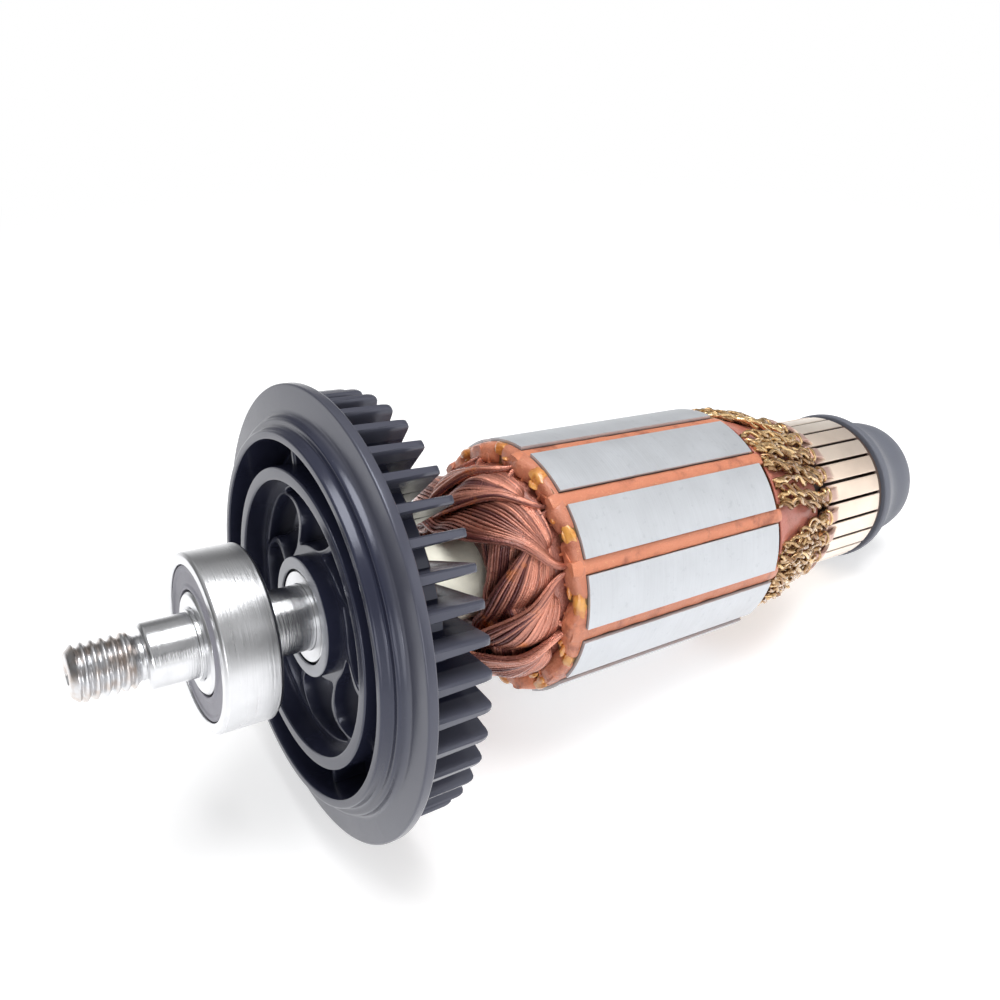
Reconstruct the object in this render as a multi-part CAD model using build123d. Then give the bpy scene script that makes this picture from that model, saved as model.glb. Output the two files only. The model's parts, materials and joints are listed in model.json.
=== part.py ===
from build123d import *
import os
from math import atan2, cos, degrees, radians, sin, tan

# Armature of a brushed motor. Everything is drawn about the shaft axis, with the axis along
# local Z, Z = 0 at the front face of the front bearing and Z rising towards the rear. The
# finished pieces are then laid down as the armature rests on a table, on its fan rim and boot.

# Clearances in mm
SEAT_GAP = 0.02
RACE_GAP = 0.06
SEAL_GAP = 0.15
CAGE_GAP = 0.15
AIR_GAP = 0.6
LAMINATION_GAP = 0.03

# Shaft
SHAFT_R = 5.0
THREAD_FRONT_Z = -16.5
THREAD_R = 3.95
THREAD_PITCH = 1.25
THREAD_DEPTH = 0.62
THREAD_GROOVE_WIDTH = 1.2
NECK_FRONT_Z = -8.7
NECK_R = 3.1
PINION_SEAT_R = 4.7
PINION_SEAT_Z = -7.2
SHAFT_CHAMFER = 0.5
REAR_JOURNAL_R = 4.0
REAR_JOURNAL_END = 8.2
CENTRE_HOLE_R = 1.3
CENTRE_HOLE_DEPTH = 2.2

# Ball bearings: bore, outside, inner ring, outer ring shoulder and seal seat radii, width
FRONT_BORE_R = SHAFT_R + SEAT_GAP
FRONT_OUTER_R = 13.0
FRONT_INNER_RING_R = 7.4
FRONT_SHOULDER_R = 10.7
FRONT_SEAL_R = 11.3
FRONT_WIDTH = 8.0
FRONT_BALL_R = 2.3
FRONT_BALLS = 7
REAR_BORE_R = REAR_JOURNAL_R + SEAT_GAP
REAR_OUTER_R = 11.0
REAR_INNER_RING_R = 6.0
REAR_SHOULDER_R = 9.0
REAR_SEAL_R = 9.6
REAR_WIDTH = 7.0
REAR_BALL_R = 1.95
REAR_BALLS = 7
RING_CHAMFER = 0.4
SEAL_THICKNESS = 0.7
SEAL_INSET = 0.25
SEAL_RIM = 0.7
SEAL_SLOPE = 0.35
SEAL_DISH = 0.23
CAGE_WALL = 1.4
CAGE_RAIL = 0.25

# Fan
FAN_HUB_FRONT_Z = 15.8
FAN_HUB_LENGTH = 15.0
FAN_HUB_R = 9.2
FAN_BUSH_R = 7.0
FAN_BUSH_INSET = 0.2
FAN_BUSH_RELIEF = 0.8
FAN_BUSH_RELIEF_DEPTH = 1.2
FAN_DISC_FRONT_Z = 17.4
FAN_DISC_THICKNESS = 1.6
FAN_DISC_R = 34.6
FAN_DISC_EDGE = 0.4
FAN_STEP_FRONT_Z = 15.9
FAN_STEP_R = 29.8
FAN_OUTER_RING_FRONT_Z = 14.3
FAN_OUTER_RING_R = 28.2
FAN_OUTER_RING_WALL = 1.3
FAN_INNER_RING_FRONT_Z = 14.8
FAN_INNER_RING_R = 22.8
FAN_INNER_RING_WALL = 2.0
FAN_FLOOR_FRONT_Z = 22.6
FAN_FLOOR_THICKNESS = 1.6
FAN_POCKET_FRONT_Z = 18.2
FAN_POCKETS = 8
FAN_POCKET_RIB = 1.4
FAN_POCKET_SWIRL = 16.0
FAN_POCKET_CORNER = 1.8
FAN_POCKET_INNER_R = 10.6
FAN_WEBS = 8
FAN_WEB_WIDTH = 1.2
FAN_WEB_FRONT_Z = 17.6
FAN_BLADES = 43
FAN_BLADE_THICKNESS = 1.5
FAN_BLADE_R = 32.8
FAN_BLADE_INNER_R = 21.5
FAN_BLADE_TIP_Z = 28.4
FAN_BLADE_ROOT_TIP_Z = 27.2
FAN_BLADE_CORNER = 0.8
FAN_BLADE_LEAN = 12.0

# Core and its insulation
CORE_FRONT_Z = 53.4
CORE_LENGTH = 44.0
CORE_R = 22.0
SLOTS = 12
SLOT_OPENING = 2.6
SLOT_BOTTOM_R = 12.4
TOOTH_TIP = 2.6
SLOT_LIP = 0.9
TOOTH_WIDTH = 4.4
SLEEVE_WALL = 1.9
SLEEVE_FRONT_Z = 34.0
LINER_WALL = 0.35
LINER_OVERHANG = 1.9
WEDGE_TOP_INSET = 0.5
WEDGE_OVERHANG = 2.3
END_INSULATOR_THICKNESS = 0.9
END_INSULATOR_INSET = 0.7

# Coils: six pairs, each spanning five slots, stacked outwards from the core at both ends
COIL_PAIRS = 6
FIRST_COIL_SLOT = 4
COIL_GAP = 0.15
COIL_HEADROOM = 0.25
COIL_LANE_GAP = 0.25
FRONT_END_TURN = 2.1
REAR_END_TURN = 1.75
END_TURN_START = 2.0
END_TURN_EDGE_ANGLE = 7.0
CROWN_MARGIN = 0.75
CROWN_ROUNDING = 4.7
BAND_WALL = 0.5
BAND_GAP = 0.2
BAND_BAR_STEP = 0.4

# Commutator
BAR_COUNT = 24
BAR_PHASE = 1.5
BAR_R = 15.7
BAR_INNER_R = 12.2
BAR_FRONT_Z = 120.6
BAR_REAR_Z = 137.5
BAR_GAP = 0.6
BAR_FIN_UNDERCUT = 0.7
BAR_FIN_GAP = 0.05
HOOK_WIDTH = 1.9
HOOK_REACH = 3.0
HOOK_THICKNESS = 0.8
HOOK_MOUTH = 1.1
MOULDING_RIM = 1.2
MOULDING_RIM_R = 15.2
MOULDING_FRONT_R = 13.9
BUSH_WALL = 2.0
LEAD_R = 0.4

# Rear boot
REAR_BEARING_Z = 147.3
BOOT_R = 12.9
BOOT_FLANGE_R = 16.0
BOOT_FLANGE_THICKNESS = 1.6
BOOT_TAPER = 6.0
BOOT_FRONT_BORE_R = 8.6
BOOT_LIP = 1.7
BOOT_LIP_R = 9.4
BOOT_CORNER = 2.0

# Values that follow from the sizes above
CORE_REAR_Z = CORE_FRONT_Z + CORE_LENGTH
SLEEVE_R = SHAFT_R + SLEEVE_WALL
SLOT_PITCH = 360 / SLOTS
COIL_SPAN = SLOTS // 2 - 1
BAR_PITCH = 360 / BAR_COUNT
BOOT_FRONT_Z = BAR_REAR_Z + MOULDING_RIM + AIR_GAP
BOOT_REAR_Z = REAR_BEARING_Z + REAR_WIDTH + BOOT_LIP
SLOT_TOP_R = CORE_R - TOOTH_TIP
END_INSULATOR_R = CORE_R - END_INSULATOR_INSET
COIL_BOTTOM_R = SLOT_BOTTOM_R + LINER_WALL + COIL_GAP
COIL_TOP_R = SLOT_TOP_R - COIL_HEADROOM
COIL_LANE = (COIL_TOP_R - COIL_BOTTOM_R - COIL_LANE_GAP) / 2
CROWN_R = COIL_TOP_R + CROWN_MARGIN
CROWN_TIP_R = CROWN_R - CROWN_ROUNDING
FRONT_CROWN_Z = CORE_FRONT_Z - END_TURN_START - COIL_PAIRS * FRONT_END_TURN
REAR_CROWN_Z = CORE_REAR_Z + END_TURN_START + COIL_PAIRS * REAR_END_TURN
MOULDING_FRONT_Z = BAR_FRONT_Z - MOULDING_RIM
HOOK_FRONT_Z = BAR_FRONT_Z - HOOK_REACH
HOOK_MOUTH_R = BAR_R + HOOK_MOUTH / 2
BAND_FRONT_R = CROWN_R + BAND_GAP
BAND_REAR_R = BAR_R - BAND_BAR_STEP
BAND_FRONT_Z = CORE_REAR_Z + WEDGE_OVERHANG + COIL_GAP
BAND_REAR_Z = HOOK_FRONT_Z - AIR_GAP


def turned(points):
    """Solid of revolution from (radius, z) points."""
    outline = Polyline(*[(r, 0, z) for r, z in points], close=True)
    return revolve(make_face(outline), Axis.Z, 360)


def tube(inner_r, outer_r, z_front, z_rear):
    """Plain ring between two heights."""
    return turned([(inner_r, z_front), (outer_r, z_front), (outer_r, z_rear), (inner_r, z_rear)])


def extruded(sketch, z_front, z_rear):
    """Sketch drawn across the axis, made solid between two heights."""
    return extrude(Pos(0, 0, z_front) * sketch, z_rear - z_front, dir=(0, 0, 1))


def polygon(points):
    """Face across the axis from (x, y) points."""
    return make_face(Polyline(*points, close=True))


def polar(radius, angle):
    """(x, y) point at a radius and an angle in degrees."""
    return (radius * cos(radians(angle)), radius * sin(radians(angle)))


def thread_groove():
    """V groove along the thread, cut past both ends of the threaded length."""
    front = THREAD_FRONT_Z - THREAD_PITCH
    height = NECK_FRONT_Z + THREAD_PITCH - front
    path = Pos(0, 0, front) * Helix(THREAD_PITCH, height, THREAD_R)
    reach = THREAD_GROOVE_WIDTH
    outline = [(-THREAD_DEPTH, 0), (THREAD_DEPTH, -reach), (THREAD_DEPTH, reach)]
    plane = Plane(origin=path @ 0, x_dir=(1, 0, 0), z_dir=path % 0)
    return sweep(plane * polygon(outline), path=path, is_frenet=True)


def make_shaft():
    rear_z = REAR_BEARING_Z + REAR_JOURNAL_END
    chamfer = SHAFT_CHAMFER
    points = [
        (0, THREAD_FRONT_Z + CENTRE_HOLE_DEPTH),
        (CENTRE_HOLE_R, THREAD_FRONT_Z),
        (THREAD_R - 2 * chamfer, THREAD_FRONT_Z),
        (THREAD_R, THREAD_FRONT_Z + 2 * chamfer),
        (THREAD_R, NECK_FRONT_Z),
        (NECK_R, NECK_FRONT_Z + (THREAD_R - NECK_R)),
        (NECK_R, PINION_SEAT_Z),
        (PINION_SEAT_R - chamfer, PINION_SEAT_Z),
        (PINION_SEAT_R, PINION_SEAT_Z + chamfer),
        (PINION_SEAT_R, -chamfer),
        (SHAFT_R, -chamfer),
        (SHAFT_R, REAR_BEARING_Z),
        (REAR_JOURNAL_R, REAR_BEARING_Z),
        (REAR_JOURNAL_R, rear_z - chamfer),
        (REAR_JOURNAL_R - chamfer, rear_z),
        (CENTRE_HOLE_R, rear_z),
        (0, rear_z - CENTRE_HOLE_DEPTH),
    ]
    return turned(points) - thread_groove()


def make_bearing(bore_r, inner_ring_r, shoulder_r, seal_r, outer_r, width, ball_r, balls):
    """Sealed deep-groove ball bearing with its front face at Z = 0."""
    middle = width / 2
    pitch_r = (inner_ring_r + shoulder_r) / 2
    groove = Pos(0, 0, middle) * Torus(pitch_r, ball_r + RACE_GAP)
    inner = chamfered_ring(bore_r, inner_ring_r, width) - groove
    seat = SEAL_INSET + SEAL_THICKNESS
    outer = chamfered_ring(shoulder_r, outer_r, width)
    outer -= tube(shoulder_r, seal_r + SEAT_GAP, 0, seat)
    outer -= tube(shoulder_r, seal_r + SEAT_GAP, width - seat, width)
    outer -= groove
    spots = [Rot(0, 0, 360 * i / balls) * Pos(pitch_r, 0, middle) for i in range(balls)]
    ball_set = [spot * Sphere(ball_r) for spot in spots]
    pocket = Rot(0, 90, 0) * Cylinder(ball_r + CAGE_GAP, 2 * CAGE_WALL)
    rail = ball_r + CAGE_GAP + CAGE_RAIL
    cage = tube(pitch_r - CAGE_WALL / 2, pitch_r + CAGE_WALL / 2, middle - rail, middle + rail)
    cage -= [spot * pocket for spot in spots]
    front_seal = make_seal(inner_ring_r + SEAL_GAP, seal_r, SEAL_INSET, 1)
    rear_seal = make_seal(inner_ring_r + SEAL_GAP, seal_r, width - SEAL_INSET, -1)
    return {
        "inner_ring": inner,
        "outer_ring": outer,
        "balls": Compound(children=ball_set),
        "cage": cage,
        "front_seal": front_seal,
        "rear_seal": rear_seal,
    }


def chamfered_ring(inner_r, outer_r, width):
    c = RING_CHAMFER
    points = [
        (inner_r, c),
        (inner_r + c, 0),
        (outer_r - c, 0),
        (outer_r, c),
        (outer_r, width - c),
        (outer_r - c, width),
        (inner_r + c, width),
        (inner_r, width - c),
    ]
    return turned(points)


def make_seal(inner_r, outer_r, face_z, inward):
    """Rubber seal with a shallow dished middle; inward is the way into the bearing."""
    dish = face_z + SEAL_DISH * inward
    back = face_z + SEAL_THICKNESS * inward
    points = [
        (inner_r, face_z),
        (inner_r + SEAL_RIM, face_z),
        (inner_r + SEAL_RIM + SEAL_SLOPE, dish),
        (outer_r - SEAL_RIM - SEAL_SLOPE, dish),
        (outer_r - SEAL_RIM, face_z),
        (outer_r, face_z),
        (outer_r, back),
        (inner_r, back),
    ]
    return turned(points)


def fan_disc():
    """Hub, floor, both rings, the step and the rim disc, all turned about the shaft."""
    edge = FAN_DISC_EDGE
    disc_rear = FAN_DISC_FRONT_Z + FAN_DISC_THICKNESS
    floor_rear = FAN_FLOOR_FRONT_Z + FAN_FLOOR_THICKNESS
    hub_bore = FAN_BUSH_R + SEAT_GAP
    outer_bore = FAN_OUTER_RING_R - FAN_OUTER_RING_WALL
    inner_bore = FAN_INNER_RING_R - FAN_INNER_RING_WALL
    rim = turned([
        (outer_bore, FAN_DISC_FRONT_Z),
        (FAN_DISC_R - edge, FAN_DISC_FRONT_Z),
        (FAN_DISC_R, FAN_DISC_FRONT_Z + edge),
        (FAN_DISC_R, disc_rear - edge),
        (FAN_DISC_R - edge, disc_rear),
        (outer_bore, disc_rear),
    ])
    step = turned([
        (outer_bore, FAN_STEP_FRONT_Z),
        (FAN_STEP_R - edge, FAN_STEP_FRONT_Z),
        (FAN_STEP_R, FAN_STEP_FRONT_Z + edge),
        (FAN_STEP_R, disc_rear),
        (outer_bore, disc_rear),
    ])
    outer_ring = tube(outer_bore, FAN_OUTER_RING_R, FAN_OUTER_RING_FRONT_Z, floor_rear)
    inner_ring = tube(inner_bore, FAN_INNER_RING_R, FAN_INNER_RING_FRONT_Z, floor_rear)
    floor = tube(hub_bore, FAN_OUTER_RING_R, FAN_FLOOR_FRONT_Z, floor_rear)
    hub_rear = FAN_HUB_FRONT_Z + FAN_HUB_LENGTH
    relief_r = FAN_BUSH_R + FAN_BUSH_RELIEF
    hub = turned([
        (relief_r, FAN_HUB_FRONT_Z),
        (FAN_HUB_R, FAN_HUB_FRONT_Z),
        (FAN_HUB_R, hub_rear),
        (hub_bore, hub_rear),
        (hub_bore, FAN_HUB_FRONT_Z + FAN_BUSH_RELIEF_DEPTH),
        (relief_r, FAN_HUB_FRONT_Z + FAN_BUSH_RELIEF_DEPTH),
    ])
    return rim + step + outer_ring + inner_ring + floor + hub


def fan_pocket(outer_r):
    """Rounded pocket between two swirled ribs of the fan's recess."""
    half = 180 / FAN_POCKETS
    inner_half = half - degrees(FAN_POCKET_RIB / 2 / FAN_POCKET_INNER_R)
    outer_half = half - degrees(FAN_POCKET_RIB / 2 / outer_r)
    middle_r = (FAN_POCKET_INNER_R + outer_r) / 2
    middle_half = half - degrees(FAN_POCKET_RIB / 2 / middle_r)
    swirl = FAN_POCKET_SWIRL
    low = ThreePointArc(
        polar(FAN_POCKET_INNER_R, -inner_half),
        polar(middle_r, swirl - middle_half),
        polar(outer_r, -outer_half),
    )
    high = ThreePointArc(
        polar(FAN_POCKET_INNER_R, inner_half),
        polar(middle_r, swirl + middle_half),
        polar(outer_r, outer_half),
    )
    outer = ThreePointArc(low @ 1, polar(outer_r, 0), high @ 1)
    inner = ThreePointArc(low @ 0, polar(FAN_POCKET_INNER_R, 0), high @ 0)
    shape = make_face([low, outer, high, inner])
    return fillet(shape.vertices(), FAN_POCKET_CORNER)


def fan_blade():
    """One flat blade standing on the rear faces of the floor and the disc, in the XZ plane."""
    wall_r = FAN_OUTER_RING_R - FAN_OUTER_RING_WALL / 2
    floor_z = FAN_FLOOR_FRONT_Z + FAN_FLOOR_THICKNESS / 2
    disc_z = FAN_DISC_FRONT_Z + FAN_DISC_THICKNESS / 2
    outline = Polyline(
        (FAN_BLADE_INNER_R, 0, floor_z),
        (wall_r, 0, floor_z),
        (wall_r, 0, disc_z),
        (FAN_BLADE_R, 0, disc_z),
        (FAN_BLADE_R, 0, FAN_BLADE_TIP_Z - FAN_BLADE_CORNER),
        (FAN_BLADE_R - FAN_BLADE_CORNER, 0, FAN_BLADE_TIP_Z),
        (FAN_BLADE_INNER_R, 0, FAN_BLADE_ROOT_TIP_Z),
        close=True,
    )
    blade = extrude(make_face(outline), FAN_BLADE_THICKNESS / 2, dir=(0, 1, 0), both=True)
    tip = Pos(FAN_BLADE_R, 0, 0)
    return tip * Rot(0, 0, FAN_BLADE_LEAN) * tip.inverse() * blade


def make_fan():
    bore = FAN_INNER_RING_R - FAN_INNER_RING_WALL
    fan = fan_disc()
    raised = tube(FAN_HUB_R - SEAT_GAP, bore + SEAT_GAP, FAN_POCKET_FRONT_Z, FAN_FLOOR_FRONT_Z + SEAT_GAP)
    pocket = extruded(fan_pocket(bore - FAN_POCKET_RIB), FAN_POCKET_FRONT_Z, FAN_FLOOR_FRONT_Z)
    pitch = 360 / FAN_POCKETS
    raised -= [Rot(0, 0, pitch * (i + 0.5)) * pocket for i in range(FAN_POCKETS)]
    groove_r = FAN_OUTER_RING_R - FAN_OUTER_RING_WALL
    web_length = groove_r - FAN_INNER_RING_R + FAN_OUTER_RING_WALL
    web_depth = FAN_FLOOR_FRONT_Z - FAN_WEB_FRONT_Z + FAN_FLOOR_THICKNESS / 2
    web = Box(web_length, FAN_WEB_WIDTH, web_depth, align=(Align.CENTER, Align.CENTER, Align.MIN))
    web = Pos((groove_r + FAN_INNER_RING_R) / 2, 0, FAN_WEB_FRONT_Z) * web
    webs = [Rot(0, 0, 360 * (i + 0.5) / FAN_WEBS) * web for i in range(FAN_WEBS)]
    blade = fan_blade()
    blades = [Rot(0, 0, 360 * i / FAN_BLADES) * blade for i in range(FAN_BLADES)]
    return fan + raised + webs + blades


def slot_half_width(x):
    """Half width of a slot at radius x, between two parallel-sided teeth."""
    half_pitch = radians(SLOT_PITCH / 2)
    return x * tan(half_pitch) - TOOTH_WIDTH / 2 / cos(half_pitch)


def slot_outline(mouth_r):
    """Slot section about the +X direction, open out to the radius mouth_r."""
    bottom = slot_half_width(SLOT_BOTTOM_R)
    top = slot_half_width(SLOT_TOP_R)
    mouth = SLOT_OPENING / 2
    lip_r = SLOT_TOP_R + SLOT_LIP
    right = [(SLOT_BOTTOM_R, bottom), (SLOT_TOP_R, top), (lip_r, mouth), (mouth_r, mouth)]
    return polygon(right + [(x, -y) for x, y in reversed(right)])


def around_slots(shape):
    return [Rot(0, 0, SLOT_PITCH * i) * shape for i in range(SLOTS)]


def laminated(outer_r, z_front, z_rear):
    """Slotted disc stack that fits the core section."""
    section = Circle(outer_r) - Circle(SLEEVE_R + SEAT_GAP)
    section -= around_slots(slot_outline(outer_r + 1))
    return extruded(section, z_front, z_rear)


def inset(sketch, amount):
    return offset(sketch, amount=-amount, kind=Kind.INTERSECTION)


def make_slot_liners():
    """Folded insulation that lines each slot and stands out of both core ends."""
    lip_r = SLOT_TOP_R + SLOT_LIP
    closed = slot_outline(CORE_R) & Pos(lip_r / 2, 0) * Rectangle(lip_r, CORE_R)
    section = inset(closed, LAMINATION_GAP) - inset(closed, LAMINATION_GAP + LINER_WALL)
    liner = extruded(section, CORE_FRONT_Z - LINER_OVERHANG, CORE_REAR_Z + LINER_OVERHANG)
    return Compound(children=around_slots(liner))


def make_slot_wedges():
    """Strips that close the slot mouths, a little below the tooth faces."""
    outer = CORE_R - WEDGE_TOP_INSET
    inner = SLOT_TOP_R + SLOT_LIP
    width = SLOT_OPENING - 2 * LAMINATION_GAP
    section = Pos((inner + outer) / 2, 0) * Rectangle(outer - inner, width)
    wedge = extruded(section, CORE_FRONT_Z - WEDGE_OVERHANG, CORE_REAR_Z + WEDGE_OVERHANG)
    return Compound(children=around_slots(wedge))


def coil_side(lane, margin):
    """Section of one coil side in a slot; lane 0 is the bottom of the slot, lane 1 the top."""
    inner = COIL_BOTTOM_R + lane * (COIL_LANE + COIL_LANE_GAP)
    outer = inner + COIL_LANE
    wall = LINER_WALL + LAMINATION_GAP + COIL_GAP - margin
    a = slot_half_width(inner) - wall
    b = slot_half_width(outer) - wall
    x0 = inner - margin
    x1 = outer + margin
    return polygon([(x0, a), (x1, b), (x1, -b), (x0, -a)])


def pair_slots(pair):
    """The four slots that one coil pair fills: two coils, each with two sides."""
    half = SLOTS // 2
    start = pair + FIRST_COIL_SLOT
    first = [start % SLOTS, (start + COIL_SPAN) % SLOTS]
    return first, [(slot + half) % SLOTS for slot in first]


def slot_pairs(slot):
    """The coil pairs that share a slot, the one wound first at the bottom."""
    return [pair for pair in range(COIL_PAIRS) if slot in sum(pair_slots(pair), [])]


def side_in_slot(slot, pair, margin=0.0):
    lane = slot_pairs(slot).index(pair)
    return Rot(0, 0, SLOT_PITCH * slot) * coil_side(lane, margin)


def end_turn(first_slot, later_pairs):
    """Flat sector that joins two coil sides round the shaft, clear of the coils wound later."""
    start = SLOT_PITCH * first_slot - END_TURN_EDGE_ANGLE
    sweep_angle = SLOT_PITCH * COIL_SPAN + 2 * END_TURN_EDGE_ANGLE
    inner_r = SLEEVE_R + COIL_GAP
    inner = CenterArc((0, 0), inner_r, start, sweep_angle)
    outer = CenterArc((0, 0), COIL_TOP_R, start, sweep_angle)
    sector = make_face([inner, Line(inner @ 1, outer @ 1), outer, Line(outer @ 0, inner @ 0)])
    for pair in later_pairs:
        for slot in sum(pair_slots(pair), []):
            sector -= side_in_slot(slot, pair, COIL_GAP)
    return sector


def crown_envelope():
    """Rounded outline that both end windings keep inside."""
    front_mid = CORE_FRONT_Z - END_TURN_START - 2 * FRONT_END_TURN
    inner_r = SLEEVE_R + COIL_GAP
    rear_start = CORE_REAR_Z + END_TURN_START
    return turned([
        (inner_r, FRONT_CROWN_Z),
        (CROWN_TIP_R - FRONT_END_TURN, FRONT_CROWN_Z),
        (CROWN_TIP_R + FRONT_END_TURN, FRONT_CROWN_Z + FRONT_END_TURN),
        (CROWN_R, front_mid),
        (CROWN_R, rear_start),
        (band_radius(rear_start) - BAND_GAP, rear_start),
        (band_radius(REAR_CROWN_Z) - BAND_GAP, REAR_CROWN_Z),
        (inner_r, REAR_CROWN_Z),
    ])


def band_radius(z):
    """Inside radius of the band over the rear end winding."""
    share = (z - BAND_FRONT_Z) / (BAND_REAR_Z - BAND_FRONT_Z)
    return BAND_FRONT_R + (BAND_REAR_R - BAND_FRONT_R) * share


def make_coil_pair(pair, envelope):
    """Two opposite coils; each later pair lies one end turn further out from the core."""
    later = range(pair + 1, COIL_PAIRS)
    front_rear_face = CORE_FRONT_Z - END_TURN_START - pair * FRONT_END_TURN
    rear_front_face = CORE_REAR_Z + END_TURN_START + pair * REAR_END_TURN
    front_face = front_rear_face - FRONT_END_TURN + COIL_GAP
    rear_face = rear_front_face + REAR_END_TURN - COIL_GAP
    coils = []
    for slots in pair_slots(pair):
        turn = end_turn(slots[0], later)
        coil = extruded(turn, front_face, front_rear_face)
        coil += extruded(turn, rear_front_face, rear_face)
        for slot in slots:
            coil += extruded(side_in_slot(slot, pair), front_face, rear_face)
        coils.append(coil & envelope)
    return Compound(children=[piece for coil in coils for piece in coil.solids()])


def make_winding_band():
    return turned([
        (BAND_FRONT_R, BAND_FRONT_Z),
        (BAND_FRONT_R + BAND_WALL, BAND_FRONT_Z),
        (BAND_REAR_R + BAND_WALL, BAND_REAR_Z),
        (BAND_REAR_R, BAND_REAR_Z),
    ])


def bar_sector(inner_r, outer_r, z_front, z_rear, gap):
    """Block between two radii, one bar pitch wide less a side gap of constant width."""
    reach = 2 * outer_r
    half_plane = Pos(0, -outer_r - gap / 2) * Rectangle(2 * reach, reach)
    wedge = Rot(0, 0, BAR_PITCH / 2) * half_plane & Rot(0, 0, 180 - BAR_PITCH / 2) * half_plane
    section = wedge & (Circle(outer_r) - Circle(inner_r))
    return extruded(section, z_front, z_rear)


def hook():
    """Folded tang at the front of a bar; the lead lies in its mouth."""
    top = BAR_R + HOOK_MOUTH + HOOK_THICKNESS
    floor = BAR_R - HOOK_THICKNESS
    front = HOOK_FRONT_Z
    slope = HOOK_THICKNESS
    outline = Polyline(
        (floor, 0, BAR_FRONT_Z + slope),
        (floor, 0, front + slope),
        (floor + slope, 0, front),
        (top - slope, 0, front),
        (top, 0, front + slope),
        (top, 0, BAR_FRONT_Z),
        (top - HOOK_THICKNESS, 0, BAR_FRONT_Z + slope),
        (top - HOOK_THICKNESS, 0, front + HOOK_THICKNESS),
        (BAR_R, 0, front + HOOK_THICKNESS),
        (BAR_R, 0, BAR_FRONT_Z + slope),
        close=True,
    )
    return extrude(make_face(outline), HOOK_WIDTH / 2, dir=(0, 1, 0), both=True)


def make_bar():
    sector = bar_sector(BAR_INNER_R + SEAT_GAP, BAR_R, BAR_FRONT_Z, BAR_REAR_Z, BAR_GAP)
    return sector + hook()


def make_moulding():
    """Moulded body that carries the bars, with a thin fin in each gap between them."""
    bore = SHAFT_R + BUSH_WALL + SEAT_GAP
    rear = BAR_REAR_Z + MOULDING_RIM
    body = turned([
        (bore, MOULDING_FRONT_Z),
        (MOULDING_FRONT_R, MOULDING_FRONT_Z),
        (MOULDING_FRONT_R, BAR_FRONT_Z - SEAT_GAP),
        (BAR_INNER_R, BAR_FRONT_Z - SEAT_GAP),
        (BAR_INNER_R, BAR_REAR_Z + SEAT_GAP),
        (MOULDING_RIM_R, BAR_REAR_Z + SEAT_GAP),
        (MOULDING_RIM_R, rear),
        (bore, rear),
    ])
    fin_r = BAR_R - BAR_FIN_UNDERCUT
    fin_root = BAR_INNER_R - BAR_FIN_UNDERCUT
    length = BAR_REAR_Z - BAR_FRONT_Z + 2 * SEAT_GAP
    fin = Box(
        fin_r - fin_root,
        BAR_GAP - 2 * BAR_FIN_GAP,
        length,
        align=(Align.MIN, Align.CENTER, Align.MIN),
    )
    fin = Pos(fin_root, 0, BAR_FRONT_Z - SEAT_GAP) * fin
    return body + [Rot(0, 0, BAR_PHASE + BAR_PITCH * (i + 0.5)) * fin for i in range(BAR_COUNT)]


def rod(start, end, radius):
    """Straight round wire between two points."""
    line = Line(start, end)
    plane = Plane(origin=line @ 0, z_dir=line % 0)
    return sweep(plane * Circle(radius), path=line)


def make_lead_wires():
    """One lead to each hook, over the band, from the coil ends behind the core."""
    start_z = CORE_REAR_Z + WEDGE_OVERHANG + 2 * LEAD_R
    start_r = band_radius(start_z) + BAND_WALL + LEAD_R + COIL_GAP
    mouth_z = HOOK_FRONT_Z + HOOK_THICKNESS + 2 * LEAD_R
    end_angle = degrees(HOOK_WIDTH / 2 / HOOK_MOUTH_R)
    enter_angle = -BAR_PITCH / 2
    mouth_r = HOOK_MOUTH_R / cos(radians(end_angle - enter_angle) / 2)
    leads = []
    for i in range(BAR_COUNT):
        angle = BAR_PHASE + BAR_PITCH * i
        start = (*polar(start_r, angle + enter_angle), start_z)
        bend = (*polar(mouth_r, angle + enter_angle), mouth_z)
        end = (*polar(mouth_r, angle + end_angle), mouth_z)
        leads.append(rod(start, bend, LEAD_R) + rod(bend, end, LEAD_R) + Pos(*bend) * Sphere(LEAD_R))
    return Compound(children=leads)


def make_boot():
    """Rubber boot over the rear bearing, with a dust flange towards the commutator."""
    seat_r = REAR_OUTER_R + SEAT_GAP
    bearing_front = REAR_BEARING_Z - SEAT_GAP
    bearing_rear = REAR_BEARING_Z + REAR_WIDTH + SEAT_GAP
    flange_rear = BOOT_FRONT_Z + BOOT_FLANGE_THICKNESS
    boot = turned([
        (BOOT_FRONT_BORE_R, BOOT_FRONT_Z),
        (BOOT_FLANGE_R, BOOT_FRONT_Z),
        (BOOT_FLANGE_R, flange_rear),
        (BOOT_R, flange_rear + BOOT_TAPER),
        (BOOT_R, BOOT_REAR_Z),
        (BOOT_LIP_R, BOOT_REAR_Z),
        (BOOT_LIP_R, bearing_rear),
        (seat_r, bearing_rear),
        (seat_r, bearing_front),
        (BOOT_FRONT_BORE_R, bearing_front),
    ])
    corner = boot.edges().filter_by(GeomType.CIRCLE).group_by(Axis.Z)[-1].sort_by(SortBy.RADIUS)[-1]
    return fillet(corner, BOOT_CORNER)


def rest_tilt():
    """Angle of the shaft axis below level when the fan rim and the boot's flange touch the table."""
    rim_z = FAN_DISC_FRONT_Z + FAN_DISC_THICKNESS - FAN_DISC_EDGE
    flange_z = BOOT_FRONT_Z + BOOT_FLANGE_THICKNESS
    tilt = atan2(FAN_DISC_R - BOOT_FLANGE_R, flange_z - rim_z)
    height = rim_z * sin(tilt) + FAN_DISC_R * cos(tilt)
    return degrees(tilt), height


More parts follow.
